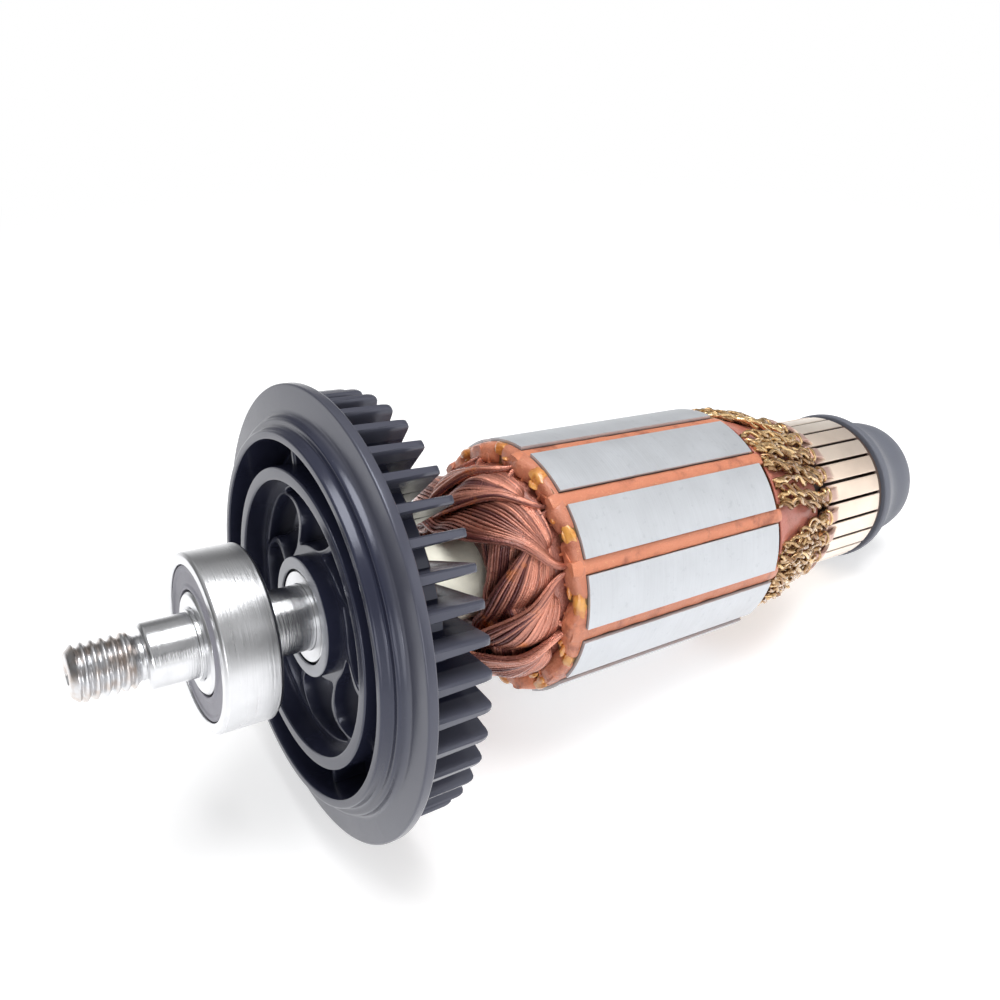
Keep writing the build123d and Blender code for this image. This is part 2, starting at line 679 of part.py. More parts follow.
def build_parts():
    parts = {"shaft": make_shaft()}
    front = make_bearing(
        FRONT_BORE_R,
        FRONT_INNER_RING_R,
        FRONT_SHOULDER_R,
        FRONT_SEAL_R,
        FRONT_OUTER_R,
        FRONT_WIDTH,
        FRONT_BALL_R,
        FRONT_BALLS,
    )
    rear = make_bearing(
        REAR_BORE_R,
        REAR_INNER_RING_R,
        REAR_SHOULDER_R,
        REAR_SEAL_R,
        REAR_OUTER_R,
        REAR_WIDTH,
        REAR_BALL_R,
        REAR_BALLS,
    )
    for name, piece in front.items():
        parts[f"front_bearing_{name}"] = piece
    for name, piece in rear.items():
        parts[f"rear_bearing_{name}"] = Pos(0, 0, REAR_BEARING_Z) * piece
    bush_front = FAN_HUB_FRONT_Z + FAN_BUSH_INSET
    bush_rear = FAN_HUB_FRONT_Z + FAN_HUB_LENGTH
    parts["fan"] = make_fan()
    parts["fan_bush"] = tube(SHAFT_R + SEAT_GAP, FAN_BUSH_R, bush_front, bush_rear)
    sleeve_rear = MOULDING_FRONT_Z - AIR_GAP
    parts["shaft_sleeve"] = tube(SHAFT_R + SEAT_GAP, SLEEVE_R, SLEEVE_FRONT_Z, sleeve_rear)
    insulator = END_INSULATOR_THICKNESS
    parts["lamination_stack"] = laminated(CORE_R, CORE_FRONT_Z, CORE_REAR_Z)
    parts["front_end_insulator"] = laminated(END_INSULATOR_R, CORE_FRONT_Z - insulator, CORE_FRONT_Z)
    parts["rear_end_insulator"] = laminated(END_INSULATOR_R, CORE_REAR_Z, CORE_REAR_Z + insulator)
    parts["slot_liners"] = make_slot_liners()
    parts["slot_wedges"] = make_slot_wedges()
    envelope = crown_envelope()
    for pair in range(COIL_PAIRS):
        parts[f"coil_pair_{pair + 1}"] = make_coil_pair(pair, envelope)
    parts["rear_winding_band"] = make_winding_band()
    parts["lead_wires"] = make_lead_wires()
    parts["commutator_moulding"] = make_moulding()
    bush_rear = BAR_REAR_Z + MOULDING_RIM
    parts["commutator_bush"] = tube(SHAFT_R + SEAT_GAP, SHAFT_R + BUSH_WALL, MOULDING_FRONT_Z, bush_rear)
    bar = make_bar()
    for i in range(BAR_COUNT):
        parts[f"commutator_bar_{i + 1:02d}"] = Rot(0, 0, BAR_PHASE + BAR_PITCH * i) * bar
    parts["rear_boot"] = make_boot()
    return parts


def lay_down(parts):
    """Tilt the armature to its rest and centre it above the origin."""
    tilt, height = rest_tilt()
    turn = Rot(0, 90 + tilt, 0)
    laid = {name: Pos(0, 0, height) * turn * piece for name, piece in parts.items()}
    front = laid["shaft"].bounding_box().min.X
    rear = laid["rear_boot"].bounding_box().max.X
    shift = Pos(-(front + rear) / 2, 0, 0)
    return {name: shift * piece for name, piece in laid.items()}


def export(parts):
    os.makedirs("parts", exist_ok=True)
    for name, piece in parts.items():
        export_step(piece, f"parts/{name}.step")


export(lay_down(build_parts()))
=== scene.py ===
import json
import random
from math import cos, degrees, exp, pi, radians, sin, sqrt

import bpy
from bpy.props import FloatProperty, FloatVectorProperty, IntProperty, PointerProperty
from bpy.types import Operator, Panel, PropertyGroup
from mathutils import Matrix, Vector, noise
from mathutils.geometry import tessellate_polygon

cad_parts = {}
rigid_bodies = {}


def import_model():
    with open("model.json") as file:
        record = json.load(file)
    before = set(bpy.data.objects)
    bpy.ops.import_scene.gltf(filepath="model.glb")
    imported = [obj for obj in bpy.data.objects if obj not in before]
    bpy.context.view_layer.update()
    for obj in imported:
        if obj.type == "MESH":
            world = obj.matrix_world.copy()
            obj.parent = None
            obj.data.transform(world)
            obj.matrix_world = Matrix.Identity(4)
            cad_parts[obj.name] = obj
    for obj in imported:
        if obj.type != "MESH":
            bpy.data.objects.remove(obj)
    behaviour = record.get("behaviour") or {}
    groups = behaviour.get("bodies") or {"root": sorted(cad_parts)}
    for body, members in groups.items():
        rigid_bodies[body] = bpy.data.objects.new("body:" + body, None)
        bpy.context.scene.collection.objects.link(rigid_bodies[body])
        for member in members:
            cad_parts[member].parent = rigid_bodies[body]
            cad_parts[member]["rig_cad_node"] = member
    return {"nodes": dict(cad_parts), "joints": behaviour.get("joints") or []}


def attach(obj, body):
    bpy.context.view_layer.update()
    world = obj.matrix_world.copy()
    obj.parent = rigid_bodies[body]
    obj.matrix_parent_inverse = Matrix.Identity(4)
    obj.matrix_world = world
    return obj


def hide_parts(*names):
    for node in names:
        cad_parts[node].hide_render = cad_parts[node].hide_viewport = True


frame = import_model()
for spare in list(bpy.data.objects):
    if "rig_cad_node" not in spare and not spare.name.startswith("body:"):
        bpy.data.objects.remove(spare)
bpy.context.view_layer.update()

bl_info = {
    "name": "Motor armature finish",
    "version": (1, 0, 0),
    "blender": (4, 5, 0),
    "location": "3D View > Sidebar > Armature",
    "description": "Dresses the armature's solids with wound copper, varnish, plastic and ground steel",
    "category": "Object",
}

# Everything is drawn in the shaft's own frame, in millimetres: z runs rearwards along the shaft
# from the front bearing's front face, and angles start at the top and grow towards the camera.
MM = 0.001
FRONT_BEARING_MIDDLE = 4.0
REAR_BEARING = 147.3
RING_CHAMFER = 0.4
THREAD_PITCH = 1.25
THREAD_FRONT = -16.3
THREAD_REAR = -8.4
FAN_RIBS = 8
RIB_PITCH = 45.0
BLADES = 43
BLADE_INNER_R = 21.5
BLADE_OUTER_R = 32.8
BLADE_LEAN = 12.0
SLOTS = 12
SLOT_PITCH = 30.0
COIL_PAIRS = 6
COIL_SPAN = 150.0
WEDGE_FRONT = 51.2
WEDGE_REAR = 99.6
BARS = 24
BAR_PITCH = 15.0
BAR_PHASE = 1.5
BAR_FRONT = 120.6
BAR_REAR = 137.5
BAR_R = 15.7
WHITE = (1.0, 1.0, 1.0, 1.0)


def shaft_frame():
    """Matrix from the shaft's frame in millimetres to the row frame in metres."""
    joint = next(j for j in frame["joints"] if j["name"] == "front_race_spin")
    along = Vector(joint["axis"]).normalized()
    side = Vector((0, 1, 0))
    across = side.cross(along)
    start = Vector(joint["pos_m"]) - along * FRONT_BEARING_MIDDLE * MM
    turn = Matrix((across, side, along)).transposed().to_4x4()
    return Matrix.Translation(start) @ turn @ Matrix.Scale(MM, 4)


SHAFT = shaft_frame()


def spot(radius, angle, z):
    """Point of the shaft's frame; the angle is in degrees from the top towards the camera."""
    return Vector((-radius * cos(radians(angle)), -radius * sin(radians(angle)), z))


def directions(angle):
    """Unit vectors out from the shaft and sideways round it, at an angle."""
    out = spot(1, angle, 0)
    return out, Vector((0, 0, 1)).cross(out)


def mix(a, b, share):
    return a + (b - a) * share


def ease(share):
    share = min(1.0, max(0.0, share))
    return share * share * (3 - 2 * share)


# Shapes

class Shape:
    """Points and faces of one piece, gathered before its mesh is made."""

    def __init__(self):
        self.points = []
        self.faces = []
        self.tints = []

    def add(self, points, faces, tint=0.5):
        start = len(self.points)
        self.points += [Vector(p) for p in points]
        self.faces += [tuple(start + i for i in face) for face in faces]
        self.tints += [tint] * len(points)

    def loft(self, rings, closed=True, looped=False, caps=False, tint=0.5):
        """Skin over rings of equally many points."""
        count = len(rings[0])
        faces = []
        spans = len(rings) if looped else len(rings) - 1
        for i in range(spans):
            j = (i + 1) % len(rings)
            for k in range(count if closed else count - 1):
                m = (k + 1) % count
                faces.append((i * count + k, i * count + m, j * count + m, j * count + k))
        if caps:
            last = (len(rings) - 1) * count
            faces.append(tuple(reversed(range(count))))
            faces.append(tuple(last + k for k in range(count)))
        self.add([p for ring in rings for p in ring], faces, tint)

    def lathe(self, profile, steps=144, tint=0.5):
        """Closed (radius, z) outline turned once round the shaft."""
        rings = []
        for i in range(steps):
            a = -360 * i / steps
            rings.append([spot(r, a, z) for r, z in profile])
        self.loft(rings, looped=True, tint=tint)

    def wire(self, path, radius, sides=6, tint=0.5):
        """Round wire along a path of points."""
        rings = []
        normal = None
        for i, here in enumerate(path):
            before = path[max(i - 1, 0)]
            after = path[min(i + 1, len(path) - 1)]
            along = (after - before).normalized()
            if normal is None:
                normal = along.orthogonal().normalized()
            normal = (normal - along * normal.dot(along)).normalized()
            other = along.cross(normal)
            ring = []
            for k in range(sides):
                a = 2 * pi * k / sides
                ring.append(here + (normal * cos(a) + other * sin(a)) * radius)
            rings.append(ring)
        self.loft(rings, caps=True, tint=tint)

    def piece(self, name, finish, body, slot, replaced=(), crease=40):
        """Makes the mesh object, sets its finish and rides it on a body of the frame."""
        mesh = bpy.data.meshes.new(name)
        mesh.from_pydata([SHAFT @ p for p in self.points], [], self.faces)
        tint = mesh.attributes.new("tint", "FLOAT", "POINT")
        tint.data.foreach_set("value", self.tints)
        mesh.validate()
        mesh.shade_smooth()
        mesh.set_sharp_from_angle(angle=radians(crease))
        mesh.materials.append(finish)
        made = bpy.data.objects.new(name, mesh)
        bpy.context.scene.collection.objects.link(made)
        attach(made, body)
        if replaced:
            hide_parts(*replaced)


def rounded(outline, radius=0.0, steps=4, loop=True):
    """Outline with its corners rounded, each limited by the sides beside it.

    A point's third number, where it has one, is its own radius.
    """
    points = [Vector(p[:2]) for p in outline]
    result = []
    count = len(points)
    for i, here in enumerate(points):
        if not loop and i in (0, count - 1):
            result.append(tuple(here))
            continue
        size = outline[i][2] if len(outline[i]) > 2 else radius
        back = points[i - 1] - here
        ahead = points[(i + 1) % count] - here
        cut = min(size, back.length * 0.48, ahead.length * 0.48)
        start = here + back.normalized() * cut
        end = here + ahead.normalized() * cut
        for k in range(steps + 1):
            s = k / steps
            low = start.lerp(here, s)
            high = here.lerp(end, s)
            result.append(tuple(low.lerp(high, s)))
    return result


def spline(points, spans):
    """Smooth path through points, as a list of points."""
    path = []
    count = len(points)
    for i in range(count - 1):
        p0 = points[max(i - 1, 0)]
        p1 = points[i]
        p2 = points[i + 1]
        p3 = points[min(i + 2, count - 1)]
        for k in range(spans):
            s = k / spans
            path.append(
                0.5 * (2 * p1 + (p2 - p0) * s + (2 * p0 - 5 * p1 + 4 * p2 - p3) * s * s
                       + (3 * p1 - 3 * p2 + p3 - p0) * s * s * s)
            )
    path.append(points[-1].copy())
    return path


# Finishes

class Signal:
    """A node's output that can stand in Python expressions."""

    def __init__(self, nodes, socket):
        self.nodes = nodes
        self.socket = socket

    def maths(self, operation, *values, clamp=False):
        inputs = dict(enumerate(values))
        return self.nodes.node("ShaderNodeMath", inputs, operation=operation, use_clamp=clamp)

    def __add__(self, other):
        return self.maths("ADD", self, other)

    def __sub__(self, other):
        return self.maths("SUBTRACT", self, other)

    def __rsub__(self, other):
        return self.maths("SUBTRACT", other, self)

    def __mul__(self, other):
        return self.maths("MULTIPLY", self, other)

    def __pow__(self, other):
        return self.maths("POWER", self, other)

    __radd__ = __add__
    __rmul__ = __mul__

    def wave(self):
        return self.maths("SINE", self)

    def clipped(self):
        return self.maths("ADD", self, 0.0, clamp=True)

    def between(self, low, high):
        """0 below low, 1 above high, with a soft change."""
        inputs = {0: self, 1: low, 2: high, 3: 0.0, 4: 1.0}
        return self.nodes.node("ShaderNodeMapRange", inputs, interpolation_type="SMOOTHSTEP")


def off_axis(x, y):
    """Distance from the shaft's axis, as a signal."""
    return (x * x + y * y) ** 0.5


def with_alpha(colour):
    return colour if isinstance(colour, Signal) else (*colour[:3], 1.0)


class Nodes:
    """A node tree, and the nodes that are added to it."""

    def __init__(self, tree):
        self.tree = tree

    def node(self, kind, inputs=None, output=0, **settings):
        made = self.tree.nodes.new(kind)
        for word, value in settings.items():
            setattr(made, word, value)
        for key, value in (inputs or {}).items():
            self.feed(made.inputs[key], value)
        return Signal(self, made.outputs[output])

    def feed(self, socket, value):
        if isinstance(value, Signal):
            self.tree.links.new(value.socket, socket)
        else:
            socket.default_value = value

    def parts(self, vector):
        split = self.node("ShaderNodeSeparateXYZ", {0: vector}).socket.node
        return [Signal(self, socket) for socket in split.outputs]

    def rays(self, *words):
        """Outputs of a Light Path node, by name."""
        path = self.node("ShaderNodeLightPath").socket.node
        return [Signal(self, path.outputs[word]) for word in words]

    def vector(self, x, y, z):
        return self.node("ShaderNodeCombineXYZ", {0: x, 1: y, 2: z})

    def grain(self, vector, scale, detail=3.0, rough=0.5):
        inputs = {"Vector": vector, "Scale": scale, "Detail": detail, "Roughness": rough}
        return self.node("ShaderNodeTexNoise", inputs)

    def colours(self, share, first, second, blend="MIX"):
        inputs = {0: share, 6: with_alpha(first), 7: with_alpha(second)}
        return self.node("ShaderNodeMix", inputs, output=2, data_type="RGBA", blend_type=blend)

    def shaded(self, colour, amount, depth):
        """Colour made darker or lighter by a 0 to 1 signal about its middle."""
        factor = amount * (2 * depth) + (1 - depth)
        return self.colours(1.0, colour, self.vector(factor, factor, factor), "MULTIPLY")


class Finish(Nodes):
    """One material: a principled shader and the nodes that feed it."""

    def __init__(self, name, **constants):
        self.material = bpy.data.materials.new(name)
        self.material.use_nodes = True
        super().__init__(self.material.node_tree)
        self.shader = self.tree.nodes["Principled BSDF"]
        for word, value in constants.items():
            self.shader.inputs[word.replace("_", " ")].default_value = value

    def set(self, word, value):
        self.feed(self.shader.inputs[word], value)

    def place(self):
        """Position in the shaft's frame, in millimetres."""
        here = self.node("ShaderNodeTexCoord", output=3)
        location, turn, scale = SHAFT.decompose()
        inputs = {"Vector": here, "Location": location, "Rotation": turn.to_euler(), "Scale": scale}
        return self.node("ShaderNodeMapping", inputs, vector_type="TEXTURE")

    def tint(self):
        """The shade that each strand, bar or strip was given when its mesh was made."""
        return self.node("ShaderNodeAttribute", output=2, attribute_name="tint")

    def turned_lines(self, pitch):
        """Fine rings round the shaft, as a lathe or a grinding wheel leaves them."""
        x, y, z = self.parts(self.place())
        radius = off_axis(x, y)
        turn = radius ** -1.0
        rings = self.vector((z + radius * 0.6) * (1 / pitch), x * turn, y * turn)
        return self.grain(rings, 1.0, 4.0, 0.65)

    def made(self, base, rough, height, strength):
        """Sets the colour, the roughness and the bump, and gives the material."""
        self.set("Base Color", base)
        self.set("Roughness", rough)
        inputs = {"Height": height, "Strength": strength, "Distance": MM}
        self.set("Normal", self.node("ShaderNodeBump", inputs))
        return self.material


def ground_steel(colours):
    """Steel of the bearing rings and bushes, ground round the shaft."""
    finish = Finish("ground_steel", Metallic=1.0)
    lines = finish.turned_lines(0.35)
    cloud = finish.grain(finish.place(), 0.35)
    return finish.made(finish.shaded(colours.steel, cloud, 0.10), lines * 0.12 + 0.23, lines, 0.08)


def shaft_steel(colours):
    """Ground steel that is browner and rougher on the thread."""
    finish = Finish("shaft_steel", Metallic=1.0)
    lines = finish.turned_lines(0.3)
    cloud = finish.grain(finish.place(), 0.5)
    z = finish.parts(finish.place())[2]
    thread = 1 - z.between(-8.8, -7.6)
    warm = finish.colours(thread * cloud.between(0.35, 0.65), colours.steel, colours.thread)
    base = finish.shaded(warm, cloud, 0.12)
    rough = lines * 0.12 + 0.17 + thread * 0.06
    return finish.made(base, rough, lines, 0.08)


def seal_rubber(colours):
    """Grey rubber of the bearing seals."""
    finish = Finish("seal_rubber")
    place = finish.place()
    base = finish.shaded(colours.seal, finish.grain(place, 0.7, 4.0), 0.16)
    return finish.made(base, 0.5, finish.grain(place, 6.0), 0.08)


def fan_plastic(colours):
    """Black moulding, with painted reflection: the recess floor, the rim disc and the hub's face are made
    paler grey.
    """
    finish = Finish("fan_plastic", Specular_IOR_Level=0.55, Specular_Tint=(0.84, 0.87, 1.0, 1.0))
    place = finish.place()
    cloud = finish.grain(place, 0.12)
    fine = finish.grain(place, 5.0, 2.0)
    dust = finish.grain(place, 1.6, 5.0, 0.7).between(0.66, 0.74)
    base = finish.shaded(colours.fan, cloud, 0.10)
    dusty = finish.colours(dust * 0.10, base, (0.30, 0.31, 0.34))
    x, y, z = finish.parts(place)
    radius = off_axis(x, y)
    # Painted reflection: the recess floor and the rim disc are mixed towards a paler grey, standing in for
    # the light their flat faces reflect.
    deep = (1 - radius.between(20.3, 20.8)) * z.between(19.5, 22.0)
    rim = radius.between(29.8, 30.2)
    with_painted_reflection = finish.colours(deep * 0.95 + rim * 0.6, dusty, (0.092, 0.094, 0.118))
    # Painted reflection: the hub's front face is mixed towards a light grey.
    hub_face = (1 - radius.between(9.0, 9.3)) * (1 - z.between(15.9, 16.1))
    base = finish.colours(hub_face * 0.9, with_painted_reflection, (0.42, 0.43, 0.47))
    rough = cloud * 0.14 + 0.16
    return finish.made(base, rough, fine, 0.03)


def core_steel(colours):
    """Stacked sheet edges, ground round the outside, with painted shade inside the slots."""
    finish = Finish("core_steel", Metallic=0.5)
    place = finish.place()
    x, y, z = finish.parts(place)
    sheets = (z * (2 * pi / 0.5)).wave() * 0.5 + 0.5
    angle = y.maths("ARCTAN2", y, x)
    streaks = finish.grain(finish.vector(z * 2.2, angle * 1.2, 0.0), 1.0, 4.0, 0.6)
    cloud = finish.grain(place, 0.16)
    scuff = finish.grain(place, 0.8, 5.0, 0.7).between(0.56, 0.72)
    base = finish.shaded(colours.core, streaks * 0.4 + cloud * 0.6, 0.18)
    base = finish.colours(scuff * 0.30, base, (0.36, 0.39, 0.42))
    # Painted shade: the sheet steel inside radius 21.2 mm, on the slot walls and under the end insulators, is
    # mixed to a dark brown.
    inside = 1 - off_axis(x, y).between(21.2, 21.8)
    base = finish.colours(inside, base, (0.10, 0.09, 0.08))
    rough = streaks * 0.10 + cloud * 0.16 + 0.36
    return finish.made(base, rough, sheets * 0.25 + streaks, 0.05)


def insulation(colours, name="insulation", tone=None):
    """Orange slot paper under uneven varnish."""
    finish = Finish(name, Coat_Weight=0.35, Coat_Roughness=0.2)
    place = finish.place()
    blotch = finish.grain(place, 0.22, 4.0, 0.6)
    fine = finish.grain(place, 1.8, 4.0, 0.7)
    paper = finish.colours(finish.tint() * 0.6, tone or colours.insulation, colours.soaked_paper)
    base = finish.colours(blotch.between(0.50, 0.72), paper, colours.burnt_varnish)
    pale = finish.colours(fine.between(0.58, 0.74) * 0.6, base, (0.82, 0.46, 0.24))
    return finish.made(pale, fine * 0.3 + 0.30, fine + blotch, 0.35)


def varnish(colours):
    """Hardened drops, browner where they are thick."""
    finish = Finish("amber_varnish", Coat_Weight=0.8, Coat_Roughness=0.08)
    place = finish.place()
    blotch = finish.grain(place, 0.55, 3.0)
    base = finish.colours(blotch.between(0.4, 0.62), colours.varnish, (0.76, 0.36, 0.08))
    return finish.made(base, blotch * 0.3 + 0.16, blotch, 0.4)


def copper_wire(colours):
    """Enamelled winding wire; each strand has its own tint, varnish pools between them, and painted light
    makes the strands paler near the slots.
    """
    finish = Finish("copper_wire", Metallic=0.55, Coat_Weight=0.4, Coat_Roughness=0.1)
    place = finish.place()
    cloud = finish.grain(place, 0.28, 3.0)
    pool = finish.grain(place, 0.16, 4.0, 0.6).between(0.58, 0.72)
    z = finish.parts(place)[2]
    # Painted light: strands are paler from z 40 mm rearwards to z 99 mm, near the slot mouths, and darker
    # farther forward on the crown.
    painted_light_near_slots = z.between(40.0, 50.5) * (1 - z.between(97.0, 99.0))
    share = (finish.tint() * 0.85 + painted_light_near_slots * 0.40 - 0.18).clipped()
    base = finish.colours(share, colours.copper_dark, colours.copper_light)
    pooled = finish.colours(pool * 0.7, base, colours.copper_varnish)
    base = finish.shaded(pooled, cloud, 0.22)
    rough = cloud * 0.2 + 0.16
    height = finish.grain(place, 3.5, 3.0, 0.6)
    return finish.made(base, rough, height, 0.30)


def lead_wire(colours):
    """Golden enamel under thick clear varnish, with a shade of its own for each wire."""
    finish = Finish("lead_wire", Metallic=0.7, Coat_Weight=0.8, Coat_Roughness=0.08)
    cloud = finish.grain(finish.place(), 0.5, 3.0)
    base = finish.colours(finish.tint(), colours.lead_dark, colours.lead_light)
    return finish.made(finish.shaded(base, cloud, 0.2), cloud * 0.2 + 0.14, cloud, 0.2)


def bar_copper(colours):
    """Turned copper bars, brown near the hooks, with painted shade on their sides in the gaps between them.
    """
    finish = Finish("bar_copper", Metallic=0.62)
    lines = finish.turned_lines(0.28)
    place = finish.place()
    cloud = finish.grain(place, 0.3, 3.0)
    x, y, z = finish.parts(place)
    riser = 1 - z.between(120.4, 123.4)
    # Painted shade: the bars' copper sides below radius 15.3 mm, in the gaps, take the moulding's dark
    # colour.
    groove = (1 - off_axis(x, y).between(15.30, 15.62)) * z.between(120.5, 121.5)
    face = finish.colours(finish.tint(), colours.bar_warm, colours.bar_pale)
    base = finish.colours(groove, finish.colours(riser, face, colours.hook), colours.moulding)
    base = finish.shaded(base, cloud, 0.10)
    rough = lines * 0.14 + 0.26 + riser * 0.12
    return finish.made(base, rough, lines, 0.12)


def plain_moulding(name, colour, rough):
    """One colour, a little clouded and uneven."""
    finish = Finish(name)
    place = finish.place()
    cloud = finish.grain(place, 0.4, 4.0)
    base = finish.shaded(colour, cloud, 0.18)
    rough = cloud * 0.2 + rough
    height = finish.grain(place, 3.0, 3.0)
    return finish.made(base, rough, height, 0.15)


def boot_rubber(colours):
    """Soft grey rubber with a few scuffs."""
    finish = Finish("boot_rubber", Sheen_Weight=0.15, Sheen_Roughness=0.4)
    place = finish.place()
    cloud = finish.grain(place, 0.18, 4.0)
    scuff = finish.grain(place, 1.1, 5.0, 0.7).between(0.60, 0.72)
    base = finish.shaded(colours.boot, cloud, 0.14)
    base = finish.colours(scuff * 0.18, base, (0.30, 0.31, 0.34))
    rough = cloud * 0.2 + 0.48
    height = finish.grain(place, 4.0, 3.0)
    return finish.made(base, rough, height, 0.12)


# Settings

def colour_setting(name, description, value):
    return FloatVectorProperty(
        name=name, description=description, default=value, size=3, min=0.0, max=1.0, subtype="COLOR",
    )


def length_setting(name, description, value):
    return FloatProperty(
        name=name, description=description, default=value * MM, unit="LENGTH", subtype="DISTANCE",
    )


class ARMATURE_colours(PropertyGroup):
    """Colours of the armature's finishes."""

    steel: colour_setting("Steel", "Ground shaft and bearing steel", (0.60, 0.605, 0.62))
    thread: colour_setting("Thread", "Oily brown tone on the thread", (0.48, 0.43, 0.40))
    seal: colour_setting("Seal", "Bearing seals", (0.27, 0.265, 0.31))
    fan: colour_setting("Fan", "Fan moulding", (0.020, 0.022, 0.042))
    core: colour_setting("Core", "Lamination edges", (0.58, 0.60, 0.63))
    insulation: colour_setting("Insulation", "Slot paper and wedges", (0.76, 0.26, 0.13))
    soaked_paper: colour_setting("Soaked paper", "Slot paper that took up varnish", (0.44, 0.17, 0.115))
    burnt_varnish: colour_setting("Burnt varnish", "Dark patches on the insulation", (0.36, 0.10, 0.05))
    varnish: colour_setting("Varnish", "Amber varnish drops", (0.62, 0.22, 0.05))
    copper_dark: colour_setting("Copper, dark", "Darkest strands", (0.11, 0.024, 0.024))
    copper_light: colour_setting("Copper, light", "Lightest strands", (0.80, 0.33, 0.225))
    copper_varnish: colour_setting("Copper, varnished", "Varnish pools on the strands", (0.78, 0.24, 0.05))
    lead_dark: colour_setting("Lead, dark", "Darkest lead wires", (0.25, 0.12, 0.04))
    lead_light: colour_setting("Lead, light", "Lightest lead wires", (0.76, 0.52, 0.25))
    band: colour_setting("Band", "Band over the rear winding", (0.58, 0.17, 0.13))
    bar_warm: colour_setting("Bar, warm", "Warmest commutator bar", (0.88, 0.71, 0.58))
    bar_pale: colour_setting("Bar, pale", "Palest commutator bar", (0.91, 0.81, 0.71))
    hook: colour_setting("Hook", "Hooks and risers", (0.60, 0.40, 0.34))
    moulding: colour_setting("Moulding", "Commutator moulding", (0.07, 0.04, 0.03))
    gap: colour_setting("Gap", "Varnished core ends", (0.20, 0.11, 0.04))
    sleeve: colour_setting("Sleeve", "Tube on the shaft", (0.93, 0.91, 0.78))
    boot: colour_setting("Boot", "Rubber boot", (0.130, 0.138, 0.170))


class ARMATURE_sizes(PropertyGroup):
    """Sizes of the details that the solids don't have."""

    strand: length_setting("Strand radius", "Radius of one winding wire", 0.27)
    lead: length_setting("Lead radius", "Radius of one lead wire", 0.39)
    edge: length_setting("Moulded edge", "Rounding of the fan's edges", 0.35)
    strands: IntProperty(name="Strands", description="Strands across one coil", default=21, min=3)
    layers: IntProperty(name="Layers", description="Layers of strands in one coil", default=3, min=1)


class ARMATURE_studio(PropertyGroup):
    """Camera and room light."""

    camera: FloatVectorProperty(
        name="Camera", description="Place of the camera", size=3, subtype="TRANSLATION", unit="LENGTH",
        default=(-0.0875191, -0.1023805, 0.1228027),
    )
    turn: FloatVectorProperty(
        name="Camera turn", description="Turn of the camera", size=3, subtype="EULER", unit="ROTATION",
        default=(radians(57.1035), radians(-0.4605), radians(-33.7319)),
    )
    lens: FloatProperty(name="Lens", description="Focal length in mm on a 36 mm sensor", default=32.58)
    world: FloatProperty(name="Room light", description="Strength of the light from all round", default=0.42)


def palette():
    return bpy.context.scene.armature_colours


def sizes():
    return bpy.context.scene.armature_sizes


def dress(nodes, finish):
    """Gives CAD nodes a finish, with their shape as it is."""
    for name in nodes:
        node = frame["nodes"][name]
        node.data.materials.clear()
        node.data.materials.append(finish)


# Pieces

def thread_radius(angle, z):
    """Radius of the threaded end, bevelled in front, with a right-hand thread that fades at both ends."""
    turns = z / THREAD_PITCH - angle / 360
    groove = 0.5 + 0.5 * cos(2 * pi * turns)
    depth = 0.62 * ease((z - THREAD_FRONT) / 1.6) * ease((THREAD_REAR - z) / 0.8)
    bevel = z - THREAD_FRONT + 3.15
    return min(3.95 - depth * groove ** 1.4, bevel)


def threaded_shaft():
    """The whole shaft in one turn, from one centre hole to the other."""
    steps = 128
    rows = 69
    row = 0.11
    front = [(0.0, -14.3), (1.3, -16.5), (2.75, -16.5), (2.95, -16.44)]
    thread = [THREAD_FRONT + row * i for i in range(rows)]
    rear = rounded(
        [(3.9, -8.7), (3.1, -7.9), (3.1, -7.2), (4.2, -7.2), (4.7, -6.7), (4.7, -0.5), (5.0, -0.5),
         (5.0, REAR_BEARING), (4.0, REAR_BEARING), (4.0, 155.0), (3.5, 155.5), (1.3, 155.5), (0.0, 153.3)],
        0.18, 3, loop=False,
    )
    rings = []
    for i in range(steps):
        a = 360 * i / steps
        ridges = [(thread_radius(-a, z), z) for z in thread]
        rings.append([spot(r, a, z) for r, z in front + ridges + rear])
    shape = Shape()
    shape.loft(rings, closed=False, looped=True)
    return shape


def inner_ring_outline(bore, outer, z, end):
    """Inner ring of a bearing between two faces, with chamfered corners."""
    c = RING_CHAMFER
    return rounded(
        [(bore, z + c), (bore + c, z), (outer - c, z), (outer, z + c),
         (outer, end - c), (outer - c, end), (bore + c, end), (bore, end - c)],
        0.14, 3,
    )


def outer_ring_outline(seal, shoulder, outer, z, end):
    """Outer ring of a bearing, with its seal seats open at both faces."""
    c = RING_CHAMFER
    seat = 0.95
    edge = 0.12
    return rounded(
        [(shoulder, z + seat), (seal, z + seat), (seal, z + edge), (seal + edge, z), (outer - c, z),
         (outer, z + c), (outer, end - c), (outer - c, end), (seal + edge, end), (seal, end - edge),
         (seal, end - seat), (shoulder, end - seat)],
        0.14, 3,
    )


def seal_outline(inner, outer, face, inward):
    """Dished seal with a thin lip at its inner edge."""
    dish = face + 0.2 * inward
    rim = face + 0.02 * inward
    back = face + 0.7 * inward
    return rounded(
        [(inner, face), (inner + 0.45, face), (inner + 0.8, dish), (outer - 1.0, dish),
         (outer - 0.65, rim), (outer - 0.12, rim), (outer - 0.12, back), (inner, back)],
        0.12, 3,
    )


